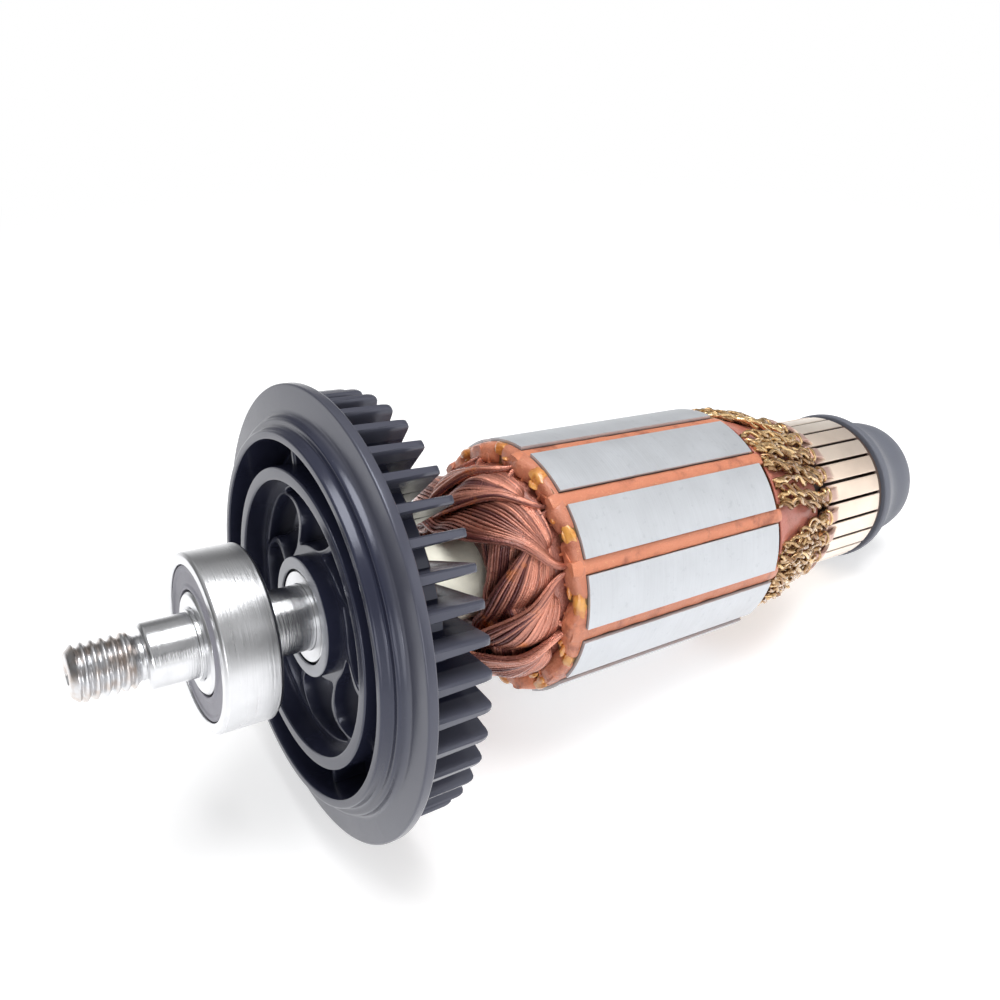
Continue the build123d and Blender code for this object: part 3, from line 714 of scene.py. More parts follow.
def dressed_bearing(side, steel, rubber, z, width, bore, inner, shoulder, seal, outer):
    """Both rings and both seals of one bearing, in place of their nodes.

    The radii run outwards: the bore, the inner ring, the outer ring's shoulder, its seal seat and
    its outside.
    """
    body = f"{side}_outer_race"
    node = f"{side}_bearing"
    inner_ring = Shape()
    inner_ring.lathe(inner_ring_outline(bore, inner, z, z + width))
    inner_ring.piece(f"{side}_inner_race", steel, "rotor", "bearing_steel", [f"{node}_inner_ring"], 30)
    outer_ring = Shape()
    outer_ring.lathe(outer_ring_outline(seal, shoulder, outer, z, z + width), 192)
    outer_ring.piece(f"{side}_outer_race_ring", steel, body, "bearing_steel", [f"{node}_outer_ring"], 30)
    for face, inward, end in ((z + 0.25, 1, "front"), (z + width - 0.25, -1, "rear")):
        lip = Shape()
        lip.lathe(seal_outline(inner + 0.3, seal - 0.02, face, inward))
        lip.piece(f"{node}_{end}_lip", rubber, body, "seal_rubber", [f"{node}_{end}_seal"], 30)


def fan_body():
    """Everything of the fan that is turned round the shaft."""
    edge = sizes().edge / MM
    hub_front = [(7.3, 15.8, 0.25), (9.2, 15.8, 0.3)]
    recess = [(9.2, 22.8, 0.2), (20.8, 22.8, 0.2)]
    inner_ring = [(20.8, 14.8, edge), (22.8, 14.8, edge)]
    groove = [(22.8, 22.6, 0.6), (26.9, 22.6, 0.6)]
    outer_ring = [(26.9, 14.3, 0.3), (28.2, 14.3, edge), (28.5, 15.9, 0.5), (29.8, 15.9, 0.45)]
    rim = [(30.1, 17.4, 0.8), (34.6, 17.4, edge), (34.6, 19.0, edge), (28.2, 19.0, 0.5)]
    back = [(28.2, 24.2, 0.5), (9.2, 24.2, 0.8)]
    hub_rear = [(9.2, 30.8, 0.4), (7.02, 30.8, 0.2), (7.02, 17.0, 0.1), (7.3, 17.0, 0.1)]
    outline = hub_front + recess + inner_ring + groove + outer_ring + rim + back + hub_rear
    shape = Shape()
    shape.lathe(rounded(outline, steps=5), 216)
    return shape


def pocket_outline():
    """Soft-cornered outline of one pocket of the fan's recess, between two curved ribs."""
    inner_r = 10.6
    outer_r = 19.4
    half_rib = 0.7
    swirl = 16.0
    count = 20

    def side(sign, share):
        radius = mix(inner_r, outer_r, share)
        half = RIB_PITCH / 2 - degrees(half_rib / radius)
        return radius, swirl * 4 * share * (1 - share) + sign * half

    corners = [side(-1, i / count) for i in range(count)]
    low, high = side(-1, 1)[1], side(1, 1)[1]
    corners += [(outer_r, mix(low, high, i / count)) for i in range(count)]
    corners += [side(1, 1 - i / count) for i in range(count)]
    low, high = side(1, 0)[1], side(-1, 0)[1]
    corners += [(inner_r, mix(low, high, i / 12)) for i in range(12)]
    flat = [Vector((r * cos(radians(a)), r * sin(radians(a)))) for r, a in corners]
    return softened(even_loop(flat, 72))


def softened(loop):
    """Closed outline with each point moved to the mean of the points near it."""
    steps = range(-4, 5)
    weights = [exp(-(k / 2.2) ** 2) for k in steps]
    soft = []
    for i in range(len(loop)):
        total = Vector((0.0, 0.0))
        for k, weight in zip(steps, weights):
            total += loop[(i + k) % len(loop)] * weight
        soft.append(total / sum(weights))
    return soft


def even_loop(points, count):
    """The same closed outline with evenly spaced points."""
    sides = [(points[(i + 1) % len(points)] - p).length for i, p in enumerate(points)]
    total = sum(sides)
    result = []
    side = 0
    passed = 0.0
    for k in range(count):
        target = total * k / count
        while passed + sides[side] < target:
            passed += sides[side]
            side += 1
        share = (target - passed) / sides[side]
        result.append(points[side].lerp(points[(side + 1) % len(points)], share))
    return result


def outset(loop, amount, z):
    """Closed flat outline moved outwards along its normals and set at a height."""
    area = sum(a.x * b.y - a.y * b.x for a, b in zip(loop, loop[1:] + loop[:1]))
    outwards = amount if area > 0 else -amount
    result = []
    for i, here in enumerate(loop):
        along = (loop[(i + 1) % len(loop)] - loop[i - 1]).normalized()
        result.append(Vector((here.x + along.y * outwards, here.y - along.x * outwards, z)))
    return result


def recess_pockets():
    """Raised land inside the inner ring, with a rounded pocket between each two ribs."""
    land = 18.2
    floor = 22.6
    lip = 0.32
    walls = [(lip, land), (0.12, land + 0.06), (0.0, land + 0.28), (-0.12, land + 2.0),
             (-0.3, floor - 1.2), (-0.6, floor - 0.45), (-1.1, floor - 0.1), (-1.6, floor)]
    shape = Shape()
    pocket = pocket_outline()
    holes = []
    for i in range(FAN_RIBS):
        turn = Matrix.Rotation(radians(-(RIB_PITCH * (i + 0.5) + 180)), 2)
        loop = [turn @ p for p in pocket]
        rings = [outset(loop, amount, z) for amount, z in walls]
        shape.loft(rings)
        shape.add(rings[-1], [tuple(range(len(loop)))])
        holes.append(rings[0])
    circle = [2 * pi * i / 96 for i in range(96)]
    edges = [[Vector((r * cos(a), r * sin(a), land)) for a in circle] for r in (21.2, 8.9)]
    polygons = edges + holes
    points = [p for polygon in polygons for p in polygon]
    shape.add(points, [tuple(t) for t in tessellate_polygon(polygons)])
    return shape


def groove_webs():
    """Thin webs across the fan's annular groove."""
    shape = Shape()
    section = rounded([(-0.75, 23.0, 0.1), (-0.55, 17.6, 0.4), (0.55, 17.6, 0.4), (0.75, 23.0, 0.1)])
    for i in range(FAN_RIBS):
        a = 180 + RIB_PITCH * (i + 0.5)
        side = directions(a)[1]
        rings = [[spot(r, a, z) + side * w for w, z in section] for r in (22.2, 27.3)]
        shape.loft(rings, caps=True)
    return shape


def fan_blades():
    """Leaning blades with rounded tips, standing on the back of the disc."""
    stations = [(BLADE_INNER_R, 26.7), (21.62, 27.05), (21.9, 27.23), (27.4, 27.84), (27.9, 27.88),
                (31.6, 28.3), (32.15, 28.28), (32.5, 28.1), (32.7, 27.75), (BLADE_OUTER_R, 27.2)]
    leaned = Matrix.Rotation(radians(BLADE_LEAN), 3, "Z")
    outer = Vector((BLADE_OUTER_R, 0, 0))
    disc_edge = 27.6
    root_in_disc = 23.6
    root_in_rim = 18.2
    blade = []
    for r, top in stations:
        end = min(r - BLADE_INNER_R, BLADE_OUTER_R - r)
        half = 0.72 - 0.22 * (1 - ease(end / 0.45))
        tip = half - 0.1
        foot = half + 0.08
        root = root_in_disc if r < disc_edge else root_in_rim
        section = [(-foot, root, 0.05), (-tip, top, 0.28), (tip, top, 0.28), (foot, root, 0.05)]
        blade.append([leaned @ (Vector((r, w, z)) - outer) + outer for w, z in rounded(section, steps=3)])
    shape = Shape()
    for i in range(BLADES):
        turn = Matrix.Rotation(radians(-(180 + 360 * i / BLADES)), 3, "Z")
        shape.loft([[turn @ p for p in ring] for ring in blade], caps=True)
    return shape


def crown_radius(z):
    """Outside radius of the front end winding."""
    share = ease((z - 38.0) / 8.0)
    return mix(13.0, 18.9, share ** 0.75)


def some_tint(rng, middle, spread):
    return min(1.0, max(0.0, rng.gauss(middle, spread)))


def coil_strands(shape, first, over, rng):
    """One coil's front end turn, with a number of coil pairs wound over it.

    Each strand leaves a slot, lies over the crown and enters another slot; across the coil, the
    strands go from the deepest and shortest to the outermost and longest.
    """
    across = sizes().strands
    radius = sizes().strand / MM
    half = COIL_SPAN / 2
    for layer in range(sizes().layers):
        for i in range(across):
            share = (i + 0.5 * (layer % 2)) / (across - 0.5)
            sink = over * 0.6 + layer * radius * 1.75
            slot_r = mix(14.2, 19.1, share) - layer * 0.25
            reach = mix(49.6, 38.9 + 1.15 * over, share)
            crown = crown_radius(reach)
            sway = [rng.uniform(-0.13, 0.13) for _ in range(4)]
            ends = []
            for start, sign in ((first, 1), (first + COIL_SPAN, -1)):
                aside = sign * (0.8 + 6.8 * (1 - share))
                mouth_r = min(19.4, slot_r + 1.2) - sink * 0.5
                shoulder_r = crown_radius(mix(51, reach, 0.6)) - sink + sway[0]
                ends.append([
                    spot(slot_r, start + aside * 0.5, 56.0),
                    spot(slot_r + 0.2, start + aside * 0.9, 52.4),
                    spot(mouth_r, start + aside + sign * 2.5, mix(51.6, reach, 0.2)),
                    spot(shoulder_r, start + sign * 17, mix(51.2, reach, 0.55)),
                    spot(crown - sink - 0.5 + sway[1], start + sign * 35, reach + 0.6 + sway[2] * 0.4),
                    spot(crown * 0.80 - sink, start + sign * (half * 0.74), reach),
                ])
            centre = spot(max(8.2, crown * 0.70 - sink), first + half, reach)
            path = spline(ends[0] + [centre] + ends[1][::-1], 5)
            shape.wire(path, radius, 6 - layer, tint=some_tint(rng, 0.5, 0.30))


def rear_turn(shape, first, over, rng):
    """Plain rear end turns of a coil; the band and the leads cover them."""
    last = first + COIL_SPAN
    middle = first + COIL_SPAN / 2
    for i in range(5):
        share = i / 4
        reach = mix(101.0, 108.0, share) - over * 0.45
        slot_r = mix(15.0, 18.4, share)
        bend_r = mix(15.6, 15.2, share)
        path = [
            spot(slot_r, first, 96.0),
            spot(slot_r, first, 99.0),
            spot(bend_r, mix(first, middle, 0.45), reach),
            spot(9.5, middle, reach + 0.6),
            spot(bend_r, mix(last, middle, 0.45), reach),
            spot(slot_r, last, 99.0),
            spot(slot_r, last, 96.0),
        ]
        shape.wire(spline(path, 4), radius=0.6, sides=5, tint=rng.random())


def crown_filling():
    """Mass of wire under the outer strands, given the darkest tint as painted shade."""
    outline = [(7.2, 44.2), (10.5, 44.0), (13.0, 45.0), (15.0, 47.0), (17.2, 49.4), (18.1, 51.0),
               (18.1, 54.0), (7.2, 54.0)]
    shape = Shape()
    # Painted shade: the low tint makes this wire the darkest copper.
    shape.lathe(rounded(outline, 1.2), 96, tint=0.1)
    return shape


def slot_cuffs():
    """Folded ends of the slot insulation, standing out of the core's front end at each slot."""
    shape = Shape()
    rng = random.Random(5)
    half = 14.0
    mid_r = 20.0
    foot = 53.3
    for i in range(SLOTS):
        centre = SLOT_PITCH * i
        fold = 51.0 + rng.uniform(-0.2, 0.2)
        section = rounded(
            [(17.6, foot, 0.2), (18.0, fold + 0.6, 0.5), (18.9, fold, 0.5), (20.7, fold + 0.15, 0.5),
             (21.35, fold + 0.9, 0.5), (21.5, foot, 0.2)],
            steps=3,
        )
        rings = []
        for k in range(21):
            off = k / 10 - 1
            end = ease((1 - abs(off)) / 0.14)
            lump = noise.noise(Vector((centre * 0.37, off * 1.6, 3.1))) * 0.35
            ring = []
            for r, z in section:
                rise = (foot - z) * (1 - 0.45 * off * off) * (0.45 + 0.55 * end)
                radius = mid_r + (r - mid_r) * (0.7 + 0.3 * end) + lump * 0.3
                ring.append(spot(radius, centre + off * half, foot + 0.05 - rise * (1 + lump)))
            rings.append(ring)
        shape.loft(rings, caps=True, tint=rng.random())
    return shape


def drop(shape, centre, size, rng):
    """Lumpy drop of varnish; size is its half length along the radius, round the shaft and along it."""
    out = Vector((centre.x, centre.y, 0)).normalized()
    axes = Matrix((out, Vector((0, 0, 1)).cross(out), (0, 0, 1))).transposed() @ Matrix.Diagonal(size)
    seed = rng.uniform(0, 50)
    rings = 8
    sides = 12
    loops = []
    for i in range(1, rings):
        tilt = pi * i / rings
        loop = []
        for k in range(sides):
            turn = 2 * pi * k / sides
            way = Vector((cos(tilt), sin(tilt) * cos(turn), sin(tilt) * sin(turn)))
            grow = 1 + 0.35 * noise.noise(way * 1.3 + Vector((seed, 0, 0)))
            loop.append(centre + axes @ way * grow)
        loops.append(loop)
    shape.loft(loops, caps=True)


def varnish_drops():
    """Amber drops on the tooth ends and where bundles cross."""
    shape = Shape()
    rng = random.Random(11)
    for i in range(SLOTS):
        a = SLOT_PITCH * (i + 0.5)
        centre = spot(20.5, a + rng.uniform(-1, 1), 52.6)
        drop(shape, centre, (1.1, rng.uniform(1.3, 2.8), rng.uniform(0.8, 1.3)), rng)
        for _ in range(2):
            centre = spot(rng.uniform(18.8, 20.2), a + rng.uniform(-9, 9), rng.uniform(51.3, 52.6))
            drop(shape, centre, (rng.uniform(0.3, 0.7), rng.uniform(0.5, 1.4), rng.uniform(0.4, 0.8)), rng)
    return shape


def wedge_strips():
    """Strips in the slot mouths, a little crowned and uneven."""
    shape = Shape()
    rng = random.Random(3)
    half = 1.24
    section = rounded(
        [(-half, 20.35, 0.1), (-half, 21.35, 0.3), (0.0, 21.5, 0.5), (half, 21.35, 0.3), (half, 20.35, 0.1)],
        steps=3,
    )
    for i in range(SLOTS):
        out, side = directions(SLOT_PITCH * i)
        rings = []
        for k in range(45):
            z = mix(WEDGE_FRONT, WEDGE_REAR, k / 44)
            end = ease(min(z - WEDGE_FRONT, WEDGE_REAR - z) / 0.8)
            rough = noise.noise(Vector((i * 7.7, z * 0.35, 0))) * 0.14
            ring = []
            for w, r in section:
                height = r - (1 - end) * 0.3 + rough * (r > 21)
                aside = w * mix(0.85, 1, end) + rough * 0.3
                ring.append(out * height + side * aside + Vector((0, 0, z)))
            rings.append(ring)
        shape.loft(rings, caps=True, tint=rng.random())
    return shape


def rear_band():
    """Crumpled insulating cone over the rear end winding."""
    outer = [(20.6, 99.85), (18.9, 106.0), (17.2, 112.0), (15.8, 117.0)]
    inner = [(15.3, 117.0), (16.7, 112.0), (18.4, 106.0)]
    outline = rounded([(20.1, 99.85)] + outer + inner, 0.3, 3)
    steps = 144
    rings = []
    for i in range(steps):
        a = -360 * i / steps
        ring = []
        for r, z in outline:
            fold = noise.noise(Vector((cos(radians(a)) * 3.2, sin(radians(a)) * 3.2, z * 0.22)))
            ring.append(spot(r + 0.35 * fold, a, z))
        rings.append(ring)
    shape = Shape()
    shape.loft(rings, looped=True)
    return shape


def wander(point):
    """Smooth noise in three directions; unlike noise_vector, it is the same at each run."""
    shifts = ((9.5, 3.7, 5.4), (41.4, 15.3, 21.6), (73.3, 27.1, 38.5))
    return Vector([noise.noise(point + Vector(shift)) for shift in shifts])


def bar_angle(i):
    return -(BAR_PHASE + BAR_PITCH * i)


def lead_knots():
    """Four twisted pairs of wire from the coil ends to each hook, with a turn round the hook."""
    shape = Shape()
    rng = random.Random(21)
    radius = sizes().lead / MM
    pairs = 4
    bundle_pitch = 60
    for i in range(BARS):
        bar = bar_angle(i)
        bundle = bundle_pitch * round(bar / bundle_pitch - 0.5) + bundle_pitch / 2
        for pair in range(pairs):
            start_a = bundle + (bar - bundle) * 0.68 + rng.uniform(-7, 7)
            start_z = rng.uniform(99.2, 101.0)
            end_a = bar + (pair - 1.5) * 3.2 * (pair > 0) + rng.uniform(-0.6, 0.6)
            lift = rng.uniform(0.0, 0.5) + pair * 0.3
            twist = rng.uniform(1.6, 3.6)
            seed = rng.uniform(0, 90)
            for wire in range(2):
                knots = []
                for k in range(23):
                    s = k / 22
                    z = mix(start_z, 117.9, s)
                    way = wander(Vector((seed + wire * 7.3, z * 0.42, pair * 3.1)))
                    held = ease(s / 0.1) * ease((1 - s) / 0.1)
                    bulge = lift * sin(pi * min(1, s * 1.2) ** 0.7)
                    r = mix(20.4, 16.9, s) + bulge + 0.55 * way.x * held
                    turn = wire * pi + s * twist * 2 * pi + way.z * 2
                    aside = 4.2 * way.y * held + degrees(0.5 * sin(turn) / r)
                    a = mix(start_a, end_a, ease(s)) + aside
                    knots.append(spot(r + 0.42 * cos(turn), a, z + 0.9 * way.z * held))
                shape.wire(spline(knots, 2), radius, tint=some_tint(rng, 0.45, 0.34))
        turns = []
        side = rng.choice((-1, 1))
        for k in range(17):
            s = k / 16
            turn = s * 2 * pi * 1.6 + rng.uniform(0, 0.2)
            a = bar + side * degrees(1.35 * sin(turn) / 16.5)
            turns.append(spot(16.6 + 0.95 * cos(turn), a, mix(117.6, 119.6, s)))
        shape.wire(spline(turns, 3), radius * 0.95, tint=rng.uniform(0.3, 1.0))
    return shape


def lead_varnish():
    """Drops of varnish at the hooks and on the leads."""
    shape = Shape()
    rng = random.Random(8)
    for i in range(BARS):
        bar = bar_angle(i)
        centre = spot(16.5, bar + rng.uniform(-3, 3), rng.uniform(116.2, 118.6))
        drop(shape, centre, (0.6, rng.uniform(0.6, 1.1), rng.uniform(0.6, 1.2)), rng)
        if rng.random() < 0.6:
            centre = spot(18.6, bar + rng.uniform(-6, 6), rng.uniform(105, 111))
            drop(shape, centre, (0.4, rng.uniform(0.5, 1.0), rng.uniform(0.5, 1.0)), rng)
    return shape


def bar_section(outer):
    """Section of one bar as (sideways, outwards) points, with its top on the commutator's circle."""
    half = radians(BAR_PITCH / 2)
    gap = 0.3
    inner = 12.2
    soft = 0.12
    edge = outer * sin(half - gap / outer)
    low = inner * sin(half) - gap
    top = [(edge * w, sqrt(outer * outer - (edge * w) ** 2), 0.4) for w in (-1, -0.6, -0.2, 0.2, 0.6, 1)]
    top[0] = (*top[0][:2], soft)
    top[-1] = (*top[-1][:2], soft)
    return rounded([(-low, inner, 0.1), *top, (low, inner, 0.1)], steps=2)


def hook_rings(out, side):
    """Rings along a hook that is folded forwards and back over its bar."""
    path = [(15.3, 122.0), (15.3, 120.2), (15.35, 118.9), (15.7, 118.0), (16.4, 117.75), (17.0, 118.1),
            (17.15, 119.0), (17.0, 120.2), (16.55, 121.4), (16.0, 122.6), (15.75, 123.3)]
    rings = []
    for k, (r, z) in enumerate(path):
        before = path[max(k - 1, 0)]
        after = path[min(k + 1, len(path) - 1)]
        along = Vector((after[0] - before[0], after[1] - before[1])).normalized()
        wide = 1.05 + 0.2 * ease((k - 6) / 3)
        thick = 0.42 - 0.2 * ease((k - 8) / 2)
        strip = [(-wide, -thick), (wide, -thick), (wide, thick), (-wide, thick)]
        rings.append([
            side * w + out * (r + along.y * t) + Vector((0, 0, z - along.x * t))
            for w, t in rounded(strip, 0.3, 3)
        ])
    return rings


def commutator_bars():
    """Turned bars, each with a folded hook at its front end."""
    shape = Shape()
    rng = random.Random(2)
    stations = [(BAR_FRONT, 15.45), (BAR_FRONT + 0.15, 15.62), (BAR_FRONT + 0.4, BAR_R),
                (BAR_REAR - 0.35, BAR_R), (BAR_REAR - 0.1, 15.62), (BAR_REAR, 15.48)]
    sections = [(z, bar_section(outer)) for z, outer in stations]
    for i in range(BARS):
        out, side = directions(bar_angle(i))
        tint = rng.uniform(0.1, 0.95)
        rings = [[side * w + out * r + Vector((0, 0, z)) for w, r in section] for z, section in sections]
        shape.loft(rings, caps=True, tint=tint)
        shape.loft(hook_rings(out, side), caps=True, tint=tint * 0.6)
    return shape


def boot_shape():
    """Rubber cap over the rear bearing, with a flared front rim and an open rear end."""
    front = [(8.6, 139.3, 0.3), (16.0, 139.3, 0.5), (16.0, 140.9, 0.6)]
    outside = [(12.9, 146.9, 2.4), (12.9, 151.5, 1.8), (12.1, 154.6, 1.2), (10.6, 156.0, 0.8)]
    lip = [(9.4, 156.0, 0.4), (9.4, 154.35, 0.3)]
    inside = [(11.0, 154.35, 0.1), (11.0, 147.25, 0.1), (8.6, 147.25, 0.3)]
    shape = Shape()
    shape.lathe(rounded(front + outside + lip + inside, steps=7), 160)
    return shape


# Operators

class ARMATURE_OT_shaft(Operator):
    """Makes the ground shaft with its rounded thread"""

    bl_idname = "armature.shaft"
    bl_label = "Shaft"

    def execute(self, context):
        threaded_shaft().piece("ground_shaft", shaft_steel(palette()), "rotor", "ground_steel", ["shaft"], 30)
        return {"FINISHED"}


class ARMATURE_OT_bearings(Operator):
    """Makes the rings and seals of both ball bearings"""

    bl_idname = "armature.bearings"
    bl_label = "Bearings"

    def execute(self, context):
        steel = ground_steel(palette())
        rubber = seal_rubber(palette())
        dressed_bearing("front", steel, rubber, z=0.0, width=8.0,
                        bore=5.02, inner=7.4, shoulder=10.7, seal=11.3, outer=13.0)
        dressed_bearing("rear", steel, rubber, z=REAR_BEARING, width=7.0,
                        bore=4.02, inner=6.0, shoulder=9.0, seal=9.6, outer=11.0)
        hidden = [f"{side}_bearing_{part}" for side in ("front", "rear") for part in ("balls", "cage")]
        dress(hidden, steel)
        return {"FINISHED"}


class ARMATURE_OT_fan(Operator):
    """Makes the fan moulding and the bush in it"""

    bl_idname = "armature.fan"
    bl_label = "Fan"

    def execute(self, context):
        plastic = fan_plastic(palette())
        fan_body().piece("fan_body", plastic, "rotor", "fan_plastic", ["fan"], 30)
        recess_pockets().piece("fan_recess", plastic, "rotor", "fan_plastic", crease=30)
        groove_webs().piece("fan_webs", plastic, "rotor", "fan_plastic", crease=30)
        fan_blades().piece("fan_blades", plastic, "rotor", "fan_plastic", crease=30)
        bush = Shape()
        bush.lathe(rounded([(5.02, 16.0), (7.0, 16.0), (7.0, 30.8), (5.02, 30.8)], 0.3, 3), 96)
        bush.piece("fan_bush_ring", ground_steel(palette()), "rotor", "ground_steel", ["fan_bush"], 30)
        return {"FINISHED"}


class ARMATURE_OT_core(Operator):
    """Finishes the lamination stack, and makes the slot insulation and its varnish"""

    bl_idname = "armature.core"
    bl_label = "Core and insulation"

    def execute(self, context):
        colours = palette()
        paper = insulation(colours)
        core_ends = plain_moulding("core_end_varnish", colours.gap, 0.3)
        dress(["lamination_stack"], core_steel(colours))
        dress(["front_end_insulator", "rear_end_insulator"], core_ends)
        dress(["slot_liners"], paper)
        dress(["shaft_sleeve"], plain_moulding("sleeve_tube", colours.sleeve, 0.4))
        wedge_strips().piece("wedge_strips", paper, "rotor", "insulation", ["slot_wedges"])
        slot_cuffs().piece("slot_cuffs", paper, "rotor", "insulation")
        varnish_drops().piece("varnish_drops", varnish(colours), "rotor", "insulation")
        return {"FINISHED"}


class ARMATURE_OT_windings(Operator):
    """Winds the coils' end turns strand by strand"""

    bl_idname = "armature.windings"
    bl_label = "Windings"

    def execute(self, context):
        copper = copper_wire(palette())
        rng = random.Random(4)
        for pair in range(COIL_PAIRS):
            shape = Shape()
            over = COIL_PAIRS - 1 - pair
            for slot in (pair + 4, pair + 10):
                first = SLOT_PITCH * slot - 180
                coil_strands(shape, first, over, rng)
                rear_turn(shape, first, over, rng)
            node = f"coil_pair_{pair + 1}"
            shape.piece(f"coil_strands_{pair + 1}", copper, "rotor", "enamelled_copper", [node], 60)
        crown_filling().piece("crown_filling", copper, "rotor", "enamelled_copper")
        return {"FINISHED"}


class ARMATURE_OT_leads(Operator):
    """Makes the band over the rear winding and the leads to the hooks"""

    bl_idname = "armature.leads"
    bl_label = "Rear band and leads"

    def execute(self, context):
        colours = palette()
        cloth = insulation(colours, "band_cloth", colours.band)
        rear_band().piece("rear_band", cloth, "rotor", "insulation", ["rear_winding_band"])
        lead_knots().piece("lead_knots", lead_wire(colours), "rotor", "lead_copper", ["lead_wires"], 60)
        lead_varnish().piece("lead_varnish", varnish(colours), "rotor", "lead_copper")
        return {"FINISHED"}


class ARMATURE_OT_commutator(Operator):
    """Makes the commutator bars with their hooks and finishes the moulding under them"""

    bl_idname = "armature.commutator"
    bl_label = "Commutator"

    def execute(self, context):
        colours = palette()
        bars = [f"commutator_bar_{i + 1:02d}" for i in range(BARS)]
        copper = bar_copper(colours)
        commutator_bars().piece("commutator_bars", copper, "rotor", "commutator_copper", bars, 30)
        dress(["commutator_moulding"], plain_moulding("dark_moulding", colours.moulding, 0.35))
        dress(["commutator_bush"], ground_steel(colours))
        return {"FINISHED"}


class ARMATURE_OT_boot(Operator):
    """Makes the rubber boot on the rear bearing"""

    bl_idname = "armature.boot"
    bl_label = "Rear boot"

    def execute(self, context):
        rubber = boot_rubber(palette())
        boot_shape().piece("boot_skin", rubber, "rear_outer_race", "boot_rubber", ["rear_boot"], 30)
        return {"FINISHED"}


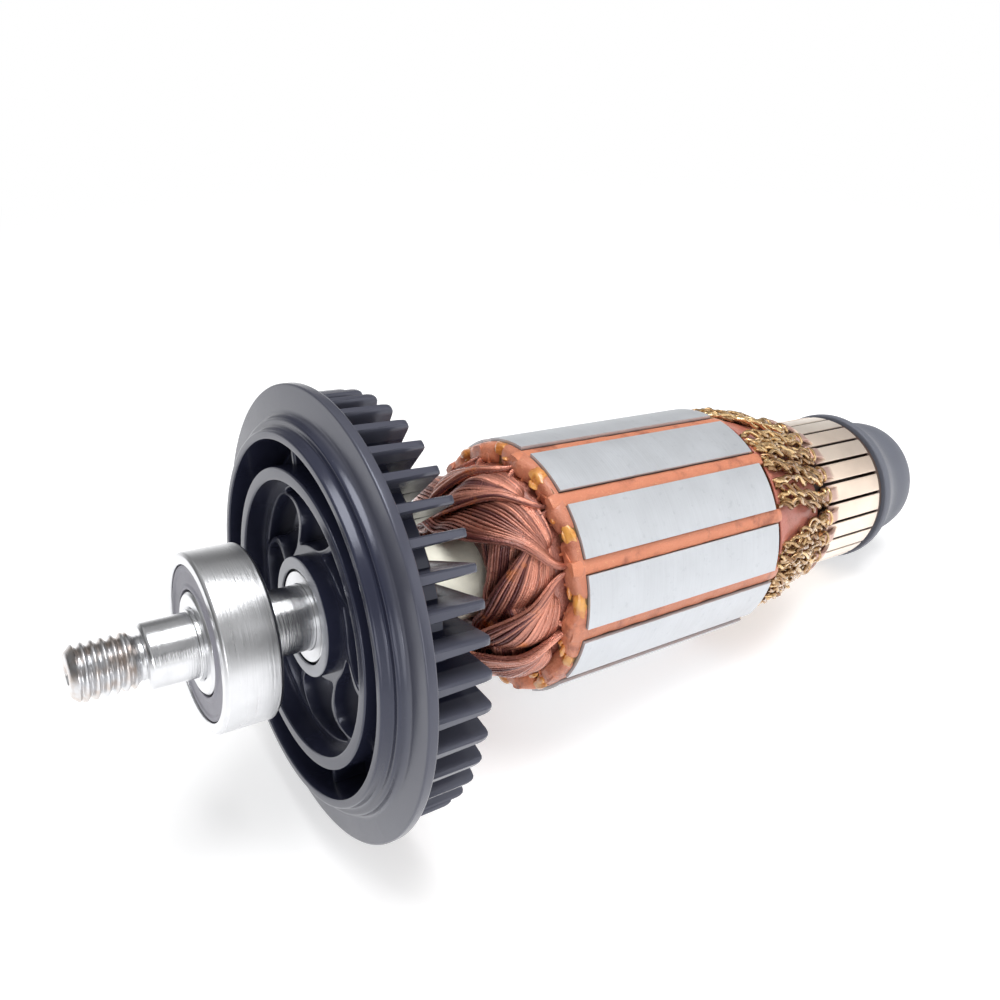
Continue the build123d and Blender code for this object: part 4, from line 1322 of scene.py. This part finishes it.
class ARMATURE_OT_stage(Operator):
    """Makes the floor, the lamps, the room light and the camera"""

    bl_idname = "armature.stage"
    bl_label = "Stage"

    def execute(self, context):
        studio = context.scene.armature_studio
        self.floor(context)
        self.lamps(context)
        self.room(context, studio)
        self.camera(context, studio)
        context.scene.view_settings.view_transform = "Standard"
        return {"FINISHED"}

    def floor(self, context):
        """White paper that keeps the shadows near the armature and shines evenly farther out."""
        mesh = bpy.data.meshes.new("floor")
        reach = 3.0
        corners = [(-reach, -reach, 0), (reach, -reach, 0), (reach, reach, 0), (-reach, reach, 0)]
        mesh.from_pydata(corners, [], [(0, 1, 2, 3)])
        floor = bpy.data.objects.new("floor", mesh)
        context.scene.collection.objects.link(floor)
        paper = Finish("floor_paper", Roughness=0.6)
        place = paper.node("ShaderNodeTexCoord", output=3)
        cloud = paper.grain(place, 4.0)
        paper.set("Base Color", paper.shaded((0.74, 0.74, 0.745), cloud, 0.01))
        seen, mirrored = paper.rays("Is Camera Ray", "Is Glossy Ray")
        glow = paper.node("ShaderNodeEmission", {"Color": WHITE, "Strength": seen * 0.48 + mirrored * 0.80})
        near = paper.node("ShaderNodeAddShader", {0: Signal(paper, paper.shader.outputs[0]), 1: glow})
        x, y, _ = paper.parts(place)
        far = off_axis(x, y).between(0.16, 0.40) * (seen + mirrored).clipped()
        white = paper.node("ShaderNodeEmission", {"Color": WHITE, "Strength": 1.0})
        shown = paper.node("ShaderNodeMixShader", {0: far, 1: near, 2: white})
        paper.feed(paper.tree.nodes["Material Output"].inputs["Surface"], shown)
        mesh.materials.append(paper.material)

    def lamps(self, context):
        """Soft lamps above, at the left front and at the right, and a small one along the fan's rim."""
        for name, place, size, power in (
            ("top_softbox", (0.02, -0.03, 0.60), 0.33, 2.5),
            ("front_softbox", (-0.28, -0.62, 0.18), 0.40, 1.3),
            ("right_softbox", (0.48, -0.48, 0.30), 0.50, 1.0),
            ("edge_lamp", (-0.50, -0.42, 0.17), 0.06, 0.34),
        ):
            data = bpy.data.lights.new(name, "AREA")
            data.shape = "SQUARE"
            data.size = size
            data.energy = power
            lamp = bpy.data.objects.new(name, data)
            lamp.location = place
            towards = Vector((0, 0, 0.03)) - Vector(place)
            lamp.rotation_euler = towards.to_track_quat("-Z", "Y").to_euler()
            context.scene.collection.objects.link(lamp)

    def room(self, context, studio):
        """White room for the camera; metal sees a lighter top and darker bands beside it."""
        world = bpy.data.worlds.new("room")
        context.scene.world = world
        world.use_nodes = True
        room = Nodes(world.node_tree)
        x, _, z = room.parts(room.node("ShaderNodeTexCoord", output=0))
        band = z.between(0.06, 0.22) * (1 - z.between(0.44, 0.64))
        stripe = ((z * 5.0 + x * 3.0).wave() * 0.5 + 0.5).between(0.2, 0.9)
        pattern = 0.46 + 0.20 * stripe - band * 0.38
        camera, glossy = room.rays("Is Camera Ray", "Is Glossy Ray")
        light = glossy * pattern + (1 - glossy) * studio.world
        back = world.node_tree.nodes["Background"]
        room.feed(back.inputs["Color"], WHITE)
        room.feed(back.inputs["Strength"], camera + (1 - camera) * light)

    def camera(self, context, studio):
        data = bpy.data.cameras.new("camera")
        data.lens = studio.lens
        data.sensor_width = 36.0
        data.clip_start = 0.005
        camera = bpy.data.objects.new("camera", data)
        camera.location = studio.camera
        camera.rotation_euler = studio.turn
        context.scene.collection.objects.link(camera)
        context.scene.camera = camera


class ARMATURE_PT_panel(Panel):
    """Lists the armature's pieces."""

    bl_idname = "ARMATURE_PT_panel"
    bl_label = "Armature"
    bl_space_type = "VIEW_3D"
    bl_region_type = "UI"
    bl_category = "Armature"

    def draw(self, context):
        for operator in OPERATORS:
            self.layout.operator(operator.bl_idname)
        for group in (palette(), sizes(), context.scene.armature_studio):
            box = self.layout.box()
            for word in group.__annotations__:
                box.prop(group, word)


OPERATORS = (
    ARMATURE_OT_shaft,
    ARMATURE_OT_bearings,
    ARMATURE_OT_fan,
    ARMATURE_OT_core,
    ARMATURE_OT_windings,
    ARMATURE_OT_leads,
    ARMATURE_OT_commutator,
    ARMATURE_OT_boot,
    ARMATURE_OT_stage,
)
CLASSES = (ARMATURE_colours, ARMATURE_sizes, ARMATURE_studio, *OPERATORS, ARMATURE_PT_panel)


def register():
    for item in CLASSES:
        bpy.utils.register_class(item)
    bpy.types.Scene.armature_colours = PointerProperty(type=ARMATURE_colours)
    bpy.types.Scene.armature_sizes = PointerProperty(type=ARMATURE_sizes)
    bpy.types.Scene.armature_studio = PointerProperty(type=ARMATURE_studio)


def unregister():
    del bpy.types.Scene.armature_studio
    del bpy.types.Scene.armature_sizes
    del bpy.types.Scene.armature_colours
    for item in reversed(CLASSES):
        bpy.utils.unregister_class(item)


def main():
    register()
    bpy.ops.armature.shaft()
    bpy.ops.armature.bearings()
    bpy.ops.armature.fan()
    bpy.ops.armature.core()
    bpy.ops.armature.windings()
    bpy.ops.armature.leads()
    bpy.ops.armature.commutator()
    bpy.ops.armature.boot()
    bpy.ops.armature.stage()


if __name__ == "__main__":
    main()
